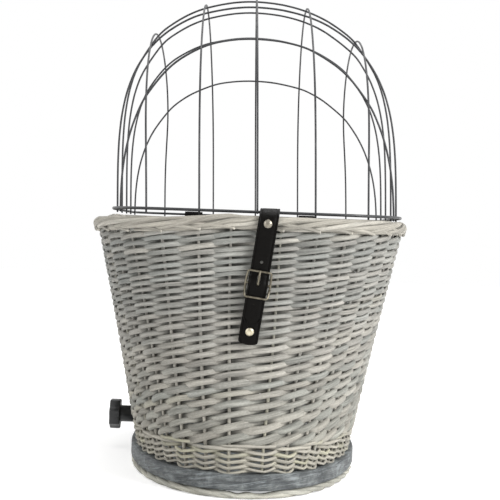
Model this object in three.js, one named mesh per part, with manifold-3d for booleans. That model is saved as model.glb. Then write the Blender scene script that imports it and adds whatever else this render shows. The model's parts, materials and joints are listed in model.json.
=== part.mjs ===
// Dog basket for the rear rack of a bicycle, in millimetres, +Z up.
// A wicker tub stands on a plywood board with a border under it. A domed wire cage turns on two
// leather loops at the straight side (+Y) and is buckled down by a strap at the rounded end (-Y).
// A clamp on the board, worked by a star knob outside the wall, holds the basket on the rack.

import * as THREE from 'three';
import { mergeVertices } from 'three/addons/utils/BufferGeometryUtils.js';
import Module from 'manifold-3d';

const wasm = await Module();
wasm.setup();

// Running and seating gap between neighbours
const clearance = 0.3;

// Heights of the stack, from the floor up
const footHeight = 7.7;
const boardThickness = 15;
const wallHeight = 224.2;
const rimRadius = 6.7;
const ringAboveRim = 3.4;

// Plan of the board: half width, rounded end and straight side, widest line, and roundness
const boardHalf = 119;
const boardNear = 251;
const boardFar = 254;
const boardMid = 15;
const boardNearPower = 2.1;
const boardFarPower = 4.5;
const boardEdgeRadius = 1.5;

// Border under the board, set in from its edge
const footWidth = 12;
const footInset = 6.5;

// Wicker wall: its foot stands in from the board's edge, and it flares up to the rim. The taper is
// the share by which its top is wider at the straight side than in the middle
const wallMargin = 4;
const wallThickness = 11;
const wallTopHalf = 155.5;
const wallTopNear = 276;
const wallTopFar = 276;
const topNearPower = 4.6;
const topFarPower = 8;
const planTaper = 0.044;
const rimInset = 2.2;

// The wall stands out at each of its stakes and is hollowed between them, on both faces. The stakes of
// the rounded end are places along the wall's top, from its middle towards +X
const frontStakes = [-148, -116, -83, -48, -17, 28, 61, 90, 113, 140];
const stakeCount = 46;
const stakeBulge = 10;
const wallHollow = 3.5;
const seatReach = 12;
const wallGrid = 1440;

// Wire cage: the ring, six hoops across and five bows along. The ring stands in from the wall's top
const ringWire = 1.5;
const cageWire = 1;
const ringInsetSides = 9.5;
const ringInsetEnds = 9;
const ringNearPower = 5.2;
const ringFarPower = 14;
const hoopCount = 6;
const hoopSpacing = 82.3;
const bowCount = 5;
const bowSpacing = 53;
const domeHeight = 227;
const domeDrop = 0.39;
const domePower = 6;
const hoopAcrossMiddle = 2;
const hoopAcrossEnd = 2.3;
const hoopRiseMiddle = 4;
const hoopRiseEnd = 2.3;
const hoopFade = 3;
const bowPinchNear = -0.055;
const bowSpreadFar = 0.075;
const legOverhang = 3.5;
const cageShift = 6.2;
const cageLean = -0.035;

// Leather straps and loops
const leather = 1.8;
const strapWidth = 18;
const strapEndHeight = 144.5;
const strapEndX = 1.4;
const strapSlant = 0.133;
const strapTailAngle = -45;
const hingeOffset = 71.5;
const hingeWidth = 22;
const hingeEndHeight = 214;
const hingeRivetUp = 9;

// Buckle: round bars, with the middle bar held in the fold of the lower strap
const buckleBar = 1;
const buckleUp = 57;
const buckleHalfHeight = 11.8;
const buckleHalfWidth = 11.3;
const buckleCornerWidth = 10.4;
const prongRadius = 1;
const prongReach = 1.14;
const prongSlot = 1.6;
const slotBelow = 1.4;
const slotAbove = 8.2;
const foldSlot = 4.8;
const billetTipUp = 20.5;
const billetHump = 9.5;
const topBarApproach = 5;
const foldNeck = 7;
const loopStraight = 12;
const fingerRise = 0.4;
const billetHoleRadius = 1.8;
const billetHolePitch = 16;
const spareHoles = 1;

// Rivets and washers
const rivetHead = 4.2;
const rivetDome = 2;
const rivetShank = 1.7;
const topRivetAngle = -2;
const lowerRivetUp = 12.5;
const washerRadius = 6.5;
const washerThickness = 1;
const rivetTail = 1;
const curveAllowance = 0.15;
const drillSpare = 8;

// Rack clamp
const clampY = 60;
const screwRadius = 4;
const screwAboveBoard = 14;
const channelLength = 170;
const channelInner = 30;
const channelHeight = 29;
const channelFlange = 12;
const sheetMetal = 2;
const clawInset = 20;
const slotPlay = 0.2;
const clawThickness = 5;
const clawWidth = 22;
const clawLip = 10;
const clawLipThickness = 3.5;
const clawAboveFloor = 0.8;
const clawTravel = 30;
const nutRadius = 8;
const nutLength = 12;
const woodScrewX = 60;
const woodScrewHead = 4;
const woodScrewShank = 2;
const woodScrewLength = 11;

// Star knob
const knobRadius = 17;
const knobThickness = 12;
const knobLobes = 7;
const knobScallop = 2.6;
const collarRadius = 9.2;
const collarLength = 15.8;
const knobWasherRadius = 9;
const knobWasherThickness = 1.5;
const knobGrip = 8;
const knobBevel = 1;

// Fineness of the facets
const loopSteps = 72;
const footSteps = 66;
const ringSteps = 96;
const hoopSteps = 24;
const bowSteps = 30;
const wireSides = 6;

// Levels that follow from the sizes above
const boardBottom = footHeight + clearance;
const boardTop = boardBottom + boardThickness;
const wallBottom = boardTop + clearance;
const wallTop = wallBottom + wallHeight;
const rimZ = wallTop + clearance + rimRadius;
const ringZ = rimZ + rimRadius + ringAboveRim;
const ringNear = wallTopNear - ringInsetEnds;
const ringFar = wallTopFar - ringInsetEnds;

// Plans: a rounded end towards -Y and a straight side towards +Y, as two powered half ovals
const board = {
  half: boardHalf, near: boardNear, far: boardFar, mid: boardMid,
  nearPower: boardNearPower, farPower: boardFarPower, taper: 0,
};
const ring = {
  half: wallTopHalf - ringInsetSides, near: ringNear, far: ringFar, mid: 0,
  nearPower: ringNearPower, farPower: ringFarPower, taper: planTaper / wallTopFar,
};
const wallUpper = {
  half: wallTopHalf, near: wallTopNear, far: wallTopFar, mid: 0,
  nearPower: topNearPower, farPower: topFarPower, taper: planTaper / wallTopFar,
};
const inset = (plan, by) => ({ ...plan, half: plan.half - by, near: plan.near - by, far: plan.far - by });
const wallLower = inset(board, wallMargin);
const rim = inset(wallUpper, rimInset);

function power(value, exponent) {
  return Math.sign(value) * Math.abs(value) ** exponent;
}

function planPoint(plan, turn) {
  const c = Math.cos(turn);
  const s = Math.sin(turn);
  const exponent = 2 / (s < 0 ? plan.nearPower : plan.farPower);
  const reach = s < 0 ? plan.near + plan.mid : plan.far - plan.mid;
  const y = plan.mid + reach * power(s, exponent);
  return new THREE.Vector2(plan.half * power(c, exponent) * (1 + plan.taper * y), y);
}

function planHalf(plan, y) {
  const near = y < plan.mid;
  const reach = near ? plan.near + plan.mid : plan.far - plan.mid;
  const exponent = near ? plan.nearPower : plan.farPower;
  const left = Math.max(0, 1 - (Math.abs(y - plan.mid) / reach) ** exponent);
  return plan.half * left ** (1 / exponent) * (1 + plan.taper * y);
}

// Points at even distances along a curve, given by a function of 0 to 1. Some values are kept exactly
function evenly(at, steps, kept = []) {
  const fine = 720;
  const lengths = [0];
  for (let i = 1; i <= fine; i += 1) {
    lengths.push(lengths[i - 1] + at(i / fine).distanceTo(at((i - 1) / fine)));
  }
  const values = [];
  let j = 0;
  for (let i = 0; i <= steps; i += 1) {
    const wanted = (lengths[fine] * i) / steps;
    while (j < fine - 1 && lengths[j + 1] < wanted) j += 1;
    values.push((j + (wanted - lengths[j]) / (lengths[j + 1] - lengths[j])) / fine);
  }
  for (const value of kept) {
    let nearest = 1;
    for (let i = 1; i < steps; i += 1) {
      if (Math.abs(values[i] - value) < Math.abs(values[nearest] - value)) nearest = i;
    }
    values[nearest] = value;
  }
  return values.map(at);
}

// The plan's outline at one height, from the middle of the straight side
function planLoop(plan, z, steps = loopSteps) {
  const points = evenly((t) => planPoint(plan, Math.PI * (0.5 + 2 * t)), steps);
  points.pop();
  return points.map((p) => new THREE.Vector3(p.x, p.y, z));
}

// A closed skin over rings of equal length, joined end to end or capped at both ends
function skin(rings, joined) {
  const size = rings[0].length;
  const positions = rings.flat().flatMap((p) => [p.x, p.y, p.z]);
  const index = [];
  const last = joined ? rings.length : rings.length - 1;
  for (let i = 0; i < last; i += 1) {
    const next = (i + 1) % rings.length;
    for (let j = 0; j < size; j += 1) {
      const k = (j + 1) % size;
      index.push(i * size + j, i * size + k, next * size + k);
      index.push(i * size + j, next * size + k, next * size + j);
    }
  }
  if (!joined) {
    for (const [base, flip] of [[0, true], [(rings.length - 1) * size, false]]) {
      const cap = THREE.ShapeUtils.triangulateShape(flat(rings[base / size]), []);
      for (const corners of cap) {
        if (flip) corners.reverse();
        index.push(...corners.map((corner) => base + corner));
      }
    }
  }
  const geometry = new THREE.BufferGeometry();
  geometry.setAttribute('position', new THREE.Float32BufferAttribute(positions, 3));
  geometry.setIndex(index);
  return outward(geometry);
}

// The points of a ring in the two directions of its own plane
function flat(points) {
  const along = points[1].clone().sub(points[0]).normalize();
  const normal = new THREE.Vector3();
  for (let i = 0; i < points.length; i += 1) {
    const a = points[i].clone().sub(points[0]);
    const b = points[(i + 1) % points.length].clone().sub(points[0]);
    normal.add(a.cross(b));
  }
  const across = normal.normalize().cross(along);
  return points.map((p) => {
    const offset = p.clone().sub(points[0]);
    return new THREE.Vector2(offset.dot(along), offset.dot(across));
  });
}

function volumeOf(geometry) {
  const p = geometry.getAttribute('position');
  const index = geometry.getIndex();
  const corner = (i) => new THREE.Vector3().fromBufferAttribute(p, index.getX(i));
  let sum = 0;
  for (let i = 0; i < index.count; i += 3) sum += corner(i).dot(corner(i + 1).cross(corner(i + 2))) / 6;
  return sum;
}

function outward(geometry) {
  if (volumeOf(geometry) < 0) {
    const index = Array.from(geometry.getIndex().array);
    geometry.setIndex(index.reverse());
  }
  return geometry;
}

// Sweeps a section along points. The section's first direction stays as near to `across` as it can,
// which is one direction or one for each point
function sweep(points, section, across, joined = false) {
  const count = points.length;
  const rings = points.map((point, i) => {
    const before = points[joined ? (i + count - 1) % count : Math.max(0, i - 1)];
    const after = points[joined ? (i + 1) % count : Math.min(count - 1, i + 1)];
    const tangent = after.clone().sub(before).normalize();
    const wide = Array.isArray(across) ? across[i] : across;
    const u = wide.clone().addScaledVector(tangent, -wide.dot(tangent)).normalize();
    const v = tangent.clone().cross(u);
    return section.map(([a, b]) => point.clone().addScaledVector(u, a).addScaledVector(v, b));
  });
  return skin(rings, joined);
}

function circle(radius, sides) {
  const points = [];
  for (let i = 0; i < sides; i += 1) {
    const turn = (2 * Math.PI * (i + 0.5)) / sides;
    points.push([radius * Math.cos(turn), radius * Math.sin(turn)]);
  }
  return points;
}

function bandSection(width, thickness) {
  const edge = thickness / 4;
  const w = width / 2;
  const t = thickness / 2;
  return [[-w, 0], [-w + edge, -t], [w - edge, -t], [w, 0], [w - edge, t], [-w + edge, t]];
}

// Solids for cutting and joining
function solid(geometry) {
  const bare = geometry.clone();
  bare.deleteAttribute('normal');
  bare.deleteAttribute('uv');
  const merged = mergeVertices(bare, 1e-4);
  return new wasm.Manifold(new wasm.Mesh({
    numProp: 3,
    vertProperties: new Float32Array(merged.getAttribute('position').array),
    triVerts: new Uint32Array(merged.getIndex().array),
  }));
}

function fromSolid(manifold) {
  const mesh = manifold.getMesh();
  const geometry = new THREE.BufferGeometry();
  geometry.setAttribute('position', new THREE.Float32BufferAttribute(mesh.vertProperties, 3));
  geometry.setIndex(new THREE.BufferAttribute(mesh.triVerts, 1));
  return geometry;
}

function cut(geometry, tools) {
  return fromSolid(tools.reduce((rest, tool) => rest.subtract(solid(tool)), solid(geometry)));
}

function join(geometries) {
  return fromSolid(geometries.map(solid).reduce((whole, piece) => whole.add(piece)));
}

// A rod from one point to another
function rod(from, to, radius, sides = 16) {
  const along = to.clone().sub(from);
  const geometry = new THREE.CylinderGeometry(radius, radius, along.length(), sides);
  geometry.translate(0, along.length() / 2, 0);
  const turn = new THREE.Quaternion().setFromUnitVectors(new THREE.Vector3(0, 1, 0), along.normalize());
  geometry.applyQuaternion(turn);
  return geometry.translate(from.x, from.y, from.z);
}

// A tool for a round hole that holds a circle of the radius
function drill(from, to, radius, sides = 12) {
  return rod(from, to, radius / Math.cos(Math.PI / sides), sides);
}

function block(x0, x1, y0, y1, z0, z1) {
  const geometry = new THREE.BoxGeometry(x1 - x0, y1 - y0, z1 - z0);
  return geometry.translate((x0 + x1) / 2, (y0 + y1) / 2, (z0 + z1) / 2);
}

// Materials, one for each sub-part
const finishes = {
  willow: [0xb4aea1, 0.75, 0],
  border: [0xbdb4a4, 0.72, 0],
  plywood: [0x8d949b, 0.6, 0],
  wire: [0x2b2c2e, 0.45, 0.5],
  leather: [0x1c1a19, 0.5, 0],
  nickel: [0xc4c1b8, 0.28, 0.9],
  brass: [0xc0b487, 0.3, 0.9],
  steel: [0xa9abad, 0.4, 0.8],
  alloy: [0xb4b5b6, 0.5, 0.7],
  plastic: [0x17181a, 0.4, 0],
};

const basket = new THREE.Group();
const cage = new THREE.Group();
cage.position.x = cageShift;
basket.add(cage);

function add(name, finish, geometry, parent = basket) {
  const [color, roughness, metalness] = finishes[finish];
  const clean = geometry.clone();
  clean.deleteAttribute('uv');
  clean.computeVertexNormals();
  const mesh = new THREE.Mesh(clean, new THREE.MeshStandardMaterial({ color, roughness, metalness }));
  mesh.name = name;
  parent.add(mesh);
  return mesh;
}

const X = new THREE.Vector3(1, 0, 0);
const Y = new THREE.Vector3(0, 1, 0);
const Z = new THREE.Vector3(0, 0, 1);

// Straps hang from the ring, over the rim, to the wall. Each lies in a plane whose frame has u across,
// v up along the strap and w out of the wall, with its origin at the strap's lower end on the wall
const wallFootGrid = planLoop(wallLower, wallBottom, wallGrid);
const wallTopGrid = planLoop(wallUpper, wallTop, wallGrid);
const wallTopLength = wallTopGrid.reduce(
  (sum, p, i) => sum + p.distanceTo(wallTopGrid[(i + 1) % wallGrid]), 0);
const stakeShares = placeStakes();
const wallPlaces = stakeShares.flatMap((share, k) => {
  const next = k + 1 < stakeCount ? stakeShares[k + 1] : stakeShares[0] + 1;
  const half = stakeBulge / 2 / wallTopLength;
  const middle = (share + next) / 2;
  const full = [0, 0.5, 1].some((height) => isSeat(wallPoint(middle, height)));
  return [[share - half, 0], [share + half, 0], [middle, full ? 0 : wallHollow]];
});
const wallLow = wallLoop(wallLower, wallBottom, 1);
const wallHigh = wallLoop(wallUpper, wallTop, 1);

// The stakes as shares of the way round the wall, from the middle of the straight side towards -X
function placeStakes() {
  const front = frontStakes.map((along) => 0.5 + along / wallTopLength);
  const others = stakeCount - front.length;
  const gap = (1 - front[front.length - 1] + front[0]) / (others + 1);
  return front.concat(Array.from({ length: others }, (_, i) => front[front.length - 1] + gap * (i + 1)));
}

// A point of the wall's outer face, by the share of the way round and the share of its height
function wallPoint(share, height) {
  const i = Math.round(share * wallGrid) % wallGrid;
  return wallFootGrid[i].clone().lerp(wallTopGrid[i], height);
}

// The wall stays full between two stakes where a strap or the knob's washer sits on it
function isSeat(p) {
  const strapX = strapEndX + strapSlant * (p.z - strapEndHeight);
  if (p.y < -wallTopHalf) return Math.abs(p.x - strapX) < seatReach;
  if (p.y > wallTopHalf) return Math.abs(Math.abs(p.x) - hingeOffset) < seatReach;
  return p.x < 0 && Math.abs(p.y - clampY) < seatReach;
}

// One face of the wall at one height, hollowed inwards, or outwards for the inner face
function wallLoop(plan, z, inwards) {
  const points = planLoop(plan, z, wallGrid);
  return wallPlaces.map(([share, depth]) => {
    const i = Math.round(share * wallGrid) % wallGrid;
    const before = points[(i + wallGrid - 1) % wallGrid];
    const along = points[(i + 1) % wallGrid].clone().sub(before).normalize();
    return points[i].clone().add(new THREE.Vector3(-along.y, along.x, 0).multiplyScalar(depth * inwards));
  });
}

// How far the wall reaches towards one side, at some x and height
function wallReach(side, x, z) {
  const loop = wallLow.map((p, i) => p.clone().lerp(wallHigh[i], (z - wallBottom) / wallHeight));
  const i = loop.findIndex((p, at) => (
    p.y * side > 0 && (p.x - x) * (loop[(at + 1) % loop.length].x - x) <= 0));
  const next = loop[(i + 1) % loop.length];
  return side * (loop[i].y + ((next.y - loop[i].y) * (x - loop[i].x)) / (next.x - loop[i].x));
}

const wrapInner = rimRadius + clearance + curveAllowance + leather / 2;
const wrapOuter = wrapInner + leather + clearance;
const foldRadius = ringWire + clearance + curveAllowance + leather / 2;

function strapFrame(side, endX, endZ, slant, wrap, layer, width) {
  const rimReach = side < 0 ? rim.near : rim.far;
  const reaches = [-0.5, 0, 0.5].map((share) => wallReach(side, endX + share * width, endZ));
  const foot = { o: Math.max(...reaches) + clearance + curveAllowance, z: endZ };
  const run = { o: foot.o - rimReach, z: foot.z - rimZ };
  const lean = -Math.acos((wrap - layer) / Math.hypot(run.o, run.z)) - Math.atan2(run.z, run.o);
  const v = new THREE.Vector3(slant, side * Math.sin(lean), Math.cos(lean)).normalize();
  const u = new THREE.Vector3(-side, 0, 0).addScaledVector(v, side * v.x).normalize();
  const w = u.clone().cross(v);
  const origin = new THREE.Vector3(endX, side * foot.o, endZ);
  const place = (a, b, c) => (
    origin.clone().addScaledVector(u, a).addScaledVector(v, b).addScaledVector(w, c));
  const matrix = new THREE.Matrix4().makeBasis(u, v, w).setPosition(origin);
  return { side, lean, u, v, w, place, matrix, slant, origin, rimReach };
}

// A point of the strap's run over the rim or the ring, by the angle about the wire or the border
function wrapPoint(frame, reach, z, radius, angle) {
  const o = reach + radius * Math.cos(angle);
  const height = z + radius * Math.sin(angle);
  const x = frame.origin.x + frame.slant * (height - frame.origin.z);
  return new THREE.Vector3(x, frame.side * o, height);
}

function arcPoints(frame, reach, z, radius, from, to, steps) {
  const points = [];
  for (let i = 0; i <= steps; i += 1) {
    points.push(wrapPoint(frame, reach, z, radius, from + ((to - from) * i) / steps));
  }
  return points;
}

// The fold round the ring: up the inner wrap of the rim, round the wire and down the outer wrap
function foldPoints(frame, ringReach, tailAngle) {
  const apart = { o: ringReach - frame.rimReach, z: ringZ - rimZ };
  const distance = Math.hypot(apart.o, apart.z);
  const bearing = Math.atan2(apart.z, apart.o);
  const leaveInner = bearing - Math.acos((wrapInner + foldRadius) / distance);
  const meetOuter = bearing - Math.acos((wrapOuter - foldRadius) / distance);
  return [
    ...arcPoints(frame, frame.rimReach, rimZ, wrapInner, tailAngle, leaveInner, 8),
    ...arcPoints(frame, ringReach, ringZ, foldRadius, leaveInner - Math.PI, meetOuter - 2 * Math.PI, 12),
    ...arcPoints(frame, frame.rimReach, rimZ, wrapOuter, meetOuter, -frame.lean, 8),
  ];
}

// A domed rivet along +Z, with its head's seat at z = 0, and the hole for it
function rivet(shankLength) {
  const profile = [new THREE.Vector2(0, -shankLength), new THREE.Vector2(rivetShank, -shankLength),
    new THREE.Vector2(rivetShank, 0), new THREE.Vector2(rivetHead, 0)];
  for (let i = 1; i <= 4; i += 1) {
    const turn = (i * Math.PI) / 8;
    profile.push(new THREE.Vector2(i === 4 ? 0 : rivetHead * Math.cos(turn), rivetDome * Math.sin(turn)));
  }
  return new THREE.LatheGeometry(profile, 12).rotateX(Math.PI / 2);
}

function hole(radius, from, to) {
  return drill(new THREE.Vector3(0, 0, from), new THREE.Vector3(0, 0, to), radius);
}

function washer(outer, inner, thickness) {
  const plate = rod(new THREE.Vector3(), new THREE.Vector3(0, 0, thickness), outer);
  return cut(plate, [hole(inner, -1, thickness + 1)]);
}

// Closing strap: from its tail up round the ring, down behind the top bar, over the middle bar,
// behind the bottom bar and down the front of the lower strap
const closure = strapFrame(
  -1, strapEndX, strapEndHeight, strapSlant, wrapOuter, leather / 2, strapWidth);
const layerStep = leather + clearance;
const doubled = leather + layerStep;
const barW = doubled / 2;
const chapeFold = buckleBar + clearance + leather / 2;
const rootW = barW + buckleBar + clearance + prongRadius;
const overBar = Math.max(barW + chapeFold + layerStep, rootW + prongRadius + clearance + leather / 2);
const underTop = leather / 2;
const topBarW = underTop + leather / 2 + clearance + buckleBar;
const underBottom = doubled + clearance + leather / 2;
const bottomBarW = underBottom + leather / 2 + clearance + buckleBar;

function billetPath() {
  const fold = foldPoints(closure, ringNear, THREE.MathUtils.degToRad(strapTailAngle));
  const straight = fold[fold.length - 1];
  const from = straight.clone().sub(closure.origin).dot(closure.v);
  const side = straight.clone().sub(closure.origin).dot(closure.u);
  const over = buckleUp + buckleHalfHeight + topBarApproach;
  const stations = [0.7, 0.35].map((share) => [side * share, over + (from - over) * share, underTop]);
  const steps = 12;
  for (let i = 0; i <= steps; i += 1) {
    const share = i / steps;
    const v = buckleHalfHeight * (1 - 2 * share);
    const rest = share < 0.5 ? underTop : underBottom;
    const turn = Math.PI * Math.min(1, Math.abs(v) / billetHump);
    const rise = (overBar - rest) * (0.5 + 0.5 * Math.cos(turn));
    stations.push([0, buckleUp + v, rest + rise]);
  }
  stations.push([0, (buckleUp - buckleHalfHeight + billetTipUp) / 2, underBottom]);
  stations.push([0, billetTipUp, underBottom]);
  return [...fold, ...stations.map(([a, b, c]) => closure.place(a, b, c))];
}

const billetPoints = billetPath();
const billetAcross = billetPoints.map((p) => (p.z > rimZ - rimRadius ? X : closure.u));
const billet = sweep(billetPoints, bandSection(strapWidth, leather), billetAcross);
const inClosure = (geometry) => geometry.applyMatrix4(closure.matrix);
const topRivetSeat = wrapOuter + leather / 2 + clearance;
const topRivetTurn = THREE.MathUtils.degToRad(topRivetAngle);
const topRivetMatrix = new THREE.Matrix4();
{
  const out = new THREE.Vector3(0, -Math.cos(topRivetTurn), Math.sin(topRivetTurn));
  const seat = wrapPoint(closure, rim.near, rimZ, topRivetSeat, topRivetTurn);
  topRivetMatrix.makeBasis(X, out.clone().cross(X), out).setPosition(seat);
}
const drillSpan = [-drillSpare - leather, drillSpare];
const billetCuts = [
  hole(rivetShank + clearance, -drillSpare - leather, doubled).applyMatrix4(topRivetMatrix),
  inClosure(block(-prongSlot, prongSlot, buckleUp - slotBelow, buckleUp + slotAbove, ...drillSpan)),
];
for (let i = 1; i <= spareHoles; i += 1) {
  const up = buckleUp + slotAbove / 2 + billetHolePitch * i;
  billetCuts.push(inClosure(hole(billetHoleRadius, -leather, doubled).translate(0, up, 0)));
}
add('closing_strap', 'leather', cut(billet, billetCuts));
add('top_rivet', 'nickel', rivet(leather + layerStep).applyMatrix4(topRivetMatrix));

// Lower strap: two layers on the wall, folded round the middle bar, with a slot for the prong
function chapePath() {
  const neck = buckleUp - foldNeck;
  const inner = leather / 2;
  const outer = inner + layerStep;
  const points = [[0, 0, inner], [0, buckleUp / 2, inner], [0, neck, inner]];
  const foldSteps = 10;
  const foldOver = 0.25;
  for (let i = 0; i <= foldSteps; i += 1) {
    const turn = -Math.PI / 2 - foldOver + ((Math.PI + 2 * foldOver) * i) / foldSteps;
    points.push([0, buckleUp + chapeFold * Math.cos(turn), barW + chapeFold * Math.sin(turn)]);
  }
  points.push([0, neck, outer], [0, buckleUp / 2, outer], [0, 0, outer]);
  return points.map(([a, b, c]) => closure.place(a, b, c));
}
const chapeCuts = [
  inClosure(hole(rivetShank + clearance, ...drillSpan).translate(0, lowerRivetUp, 0)),
  inClosure(block(-prongSlot, prongSlot, buckleUp - foldSlot, buckleUp + foldSlot, ...drillSpan)),
];
const chape = sweep(chapePath(), bandSection(strapWidth, leather), closure.u);
add('lower_strap', 'leather', cut(chape, chapeCuts));

// Buckle frame: bowed sides between straight bars, the outer bars raised and the frame tilted
function bucklePoints() {
  const points = [];
  const bow = (topBarW + bottomBarW) / 2 - barW;
  const tilt = (bottomBarW - topBarW) / 2;
  const steps = 8;
  const corner = 0.9 * buckleCornerWidth;
  const belly = buckleHalfWidth - buckleCornerWidth;
  const height = (v) => barW + bow * (v / buckleHalfHeight) ** 2 - tilt * (v / buckleHalfHeight);
  for (const side of [1, -1]) {
    points.push([side * corner, side * buckleHalfHeight]);
    for (let i = 0; i <= steps; i += 1) {
      const v = side * (buckleHalfHeight - buckleBar) * (1 - (2 * i) / steps);
      const u = buckleCornerWidth + belly * (1 - (v / buckleHalfHeight) ** 2);
      points.push([side * u, v]);
    }
    points.push([side * corner, -side * buckleHalfHeight]);
    points.push([0, -side * buckleHalfHeight]);
  }
  return points.map(([a, b]) => new THREE.Vector3(a, buckleUp + b, height(b)));
}
const middleBar = rod(
  new THREE.Vector3(-buckleHalfWidth, buckleUp, barW),
  new THREE.Vector3(buckleHalfWidth, buckleUp, barW), buckleBar, 12);
const buckleLoop = sweep(bucklePoints(), circle(buckleBar, 8), Z, true);
add('buckle_frame', 'nickel', inClosure(join([buckleLoop, middleBar])));

// Prong: an eye on the middle bar and a finger that rests on the top bar
const eyeInner = buckleBar + clearance;
const eye = washer(eyeInner + 2 * prongRadius, eyeInner, 2 * prongRadius);
eye.translate(0, 0, -prongRadius).rotateY(Math.PI / 2).translate(0, buckleUp, barW);
const fingerRoot = new THREE.Vector3(0, buckleUp + fingerRise, rootW);
const fingerRest = new THREE.Vector3(
  0, buckleUp + buckleHalfHeight, topBarW + buckleBar + clearance + prongRadius);
const fingerTip = fingerRoot.clone().lerp(fingerRest, prongReach);
const finger = rod(fingerRoot, fingerTip, prongRadius, 10);
add('buckle_prong', 'nickel', inClosure(join([eye, finger])));

// Wall, with holes for the rivets and the clamp screw
const hinges = [-1, 1].map((sign) => (
  strapFrame(1, sign * hingeOffset, hingeEndHeight, 0, wrapInner, leather / 2, hingeWidth)));
const rivetReach = wallThickness + drillSpare;
const lowerRivetMatrix = closure.matrix.clone().multiply(
  new THREE.Matrix4().makeTranslation(0, lowerRivetUp, doubled + clearance));
const hingeRivetMatrices = hinges.map((frame) => frame.matrix.clone().multiply(
  new THREE.Matrix4().makeTranslation(0, hingeRivetUp, doubled + clearance)));
const screwZ = boardTop + screwAboveBoard;

function wallGeometry() {
  const innerHigh = wallLoop(inset(wallUpper, wallThickness), wallTop, -1);
  const innerLow = wallLoop(inset(wallLower, wallThickness), wallBottom, -1);
  return skin([wallLow, wallHigh, innerHigh, innerLow], true);
}
const wallCuts = [lowerRivetMatrix, ...hingeRivetMatrices].map((matrix) => (
  hole(rivetShank + clearance, -rivetReach - doubled, leather).applyMatrix4(matrix)));
wallCuts.push(drill(
  new THREE.Vector3(-wallTopHalf, clampY, screwZ),
  new THREE.Vector3(-channelLength / 2, clampY, screwZ), screwRadius + 1));
add('wicker_wall', 'willow', cut(wallGeometry(), wallCuts));

// Rim border on the wall, and the flat-footed border under the board
const footSection = [[-0.3, 0], [0.3, 0], [0.5, 0.5], [0.3, 1], [-0.3, 1], [-0.5, 0.5]];
const upright = (section) => section.map(([a, b]) => [b, a]);
add('rim_border', 'border', sweep(planLoop(rim, rimZ), circle(rimRadius, 8), Z, true));
add('foot_border', 'border', sweep(
  planLoop(inset(board, footInset), 0, footSteps),
  upright(footSection.map(([a, b]) => [a * footWidth, b * footHeight])), Z, true));

// Board, with slots for the claws and holes for the wood screws
function boardGeometry() {
  const edge = boardEdgeRadius;
  const rings = [
    planLoop(inset(board, edge), boardBottom), planLoop(board, boardBottom + edge),
    planLoop(board, boardTop - edge), planLoop(inset(board, edge), boardTop),
  ];
  return skin(rings, false);
}
const slotSide = clearance + slotPlay;
const clawOffset = channelLength / 2 - clawInset;
const slotY = [clampY - clawWidth / 2 - slotSide, clampY + clawWidth / 2 + slotSide];
const clawHalf = clawThickness / 2;
const slotX = clawHalf + slotSide;
const boardCuts = [
  block(-clawOffset - slotX, -clawOffset + slotX, ...slotY, 0, wallTop),
  block(clawOffset - clawTravel - slotX, clawOffset + slotX, ...slotY, 0, wallTop),
];
const flangeY = channelInner / 2 + sheetMetal + channelFlange / 2;
const screwCorners = [[-1, -1], [1, -1], [1, 1], [-1, 1]];
const screwPlaces = screwCorners.map(([a, b]) => [a * woodScrewX, clampY + b * flangeY]);
const channelBase = boardTop + clearance;
const screwSeat = channelBase + sheetMetal + clearance;
const screwHoles = screwPlaces.map(([x, y]) => (
  hole(woodScrewShank + clearance, screwSeat - woodScrewLength - 1, screwSeat + 1).translate(x, y, 0)));
add('base_board', 'plywood', cut(boardGeometry(), [...boardCuts, ...screwHoles]));

// Clamp channel: a hat section along X
function channelGeometry() {
  const a = channelInner / 2;
  const b = a + sheetMetal;
  const c = b + channelFlange;
  const top = channelHeight;
  const outline = [[-c, 0], [-a, 0], [-a, top - sheetMetal], [a, top - sheetMetal], [a, 0], [c, 0],
    [c, sheetMetal], [b, sheetMetal], [b, top], [-b, top], [-b, sheetMetal], [-c, sheetMetal]];
  const shape = new THREE.Shape(outline.map(([y, z]) => new THREE.Vector2(y, z)));
  const geometry = new THREE.ExtrudeGeometry(shape, { depth: channelLength, bevelEnabled: false });
  geometry.applyMatrix4(new THREE.Matrix4().makeBasis(Y, Z, X));
  return geometry.translate(-channelLength / 2, clampY, channelBase);
}
add('clamp_channel', 'steel', cut(channelGeometry(), screwHoles));

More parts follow.
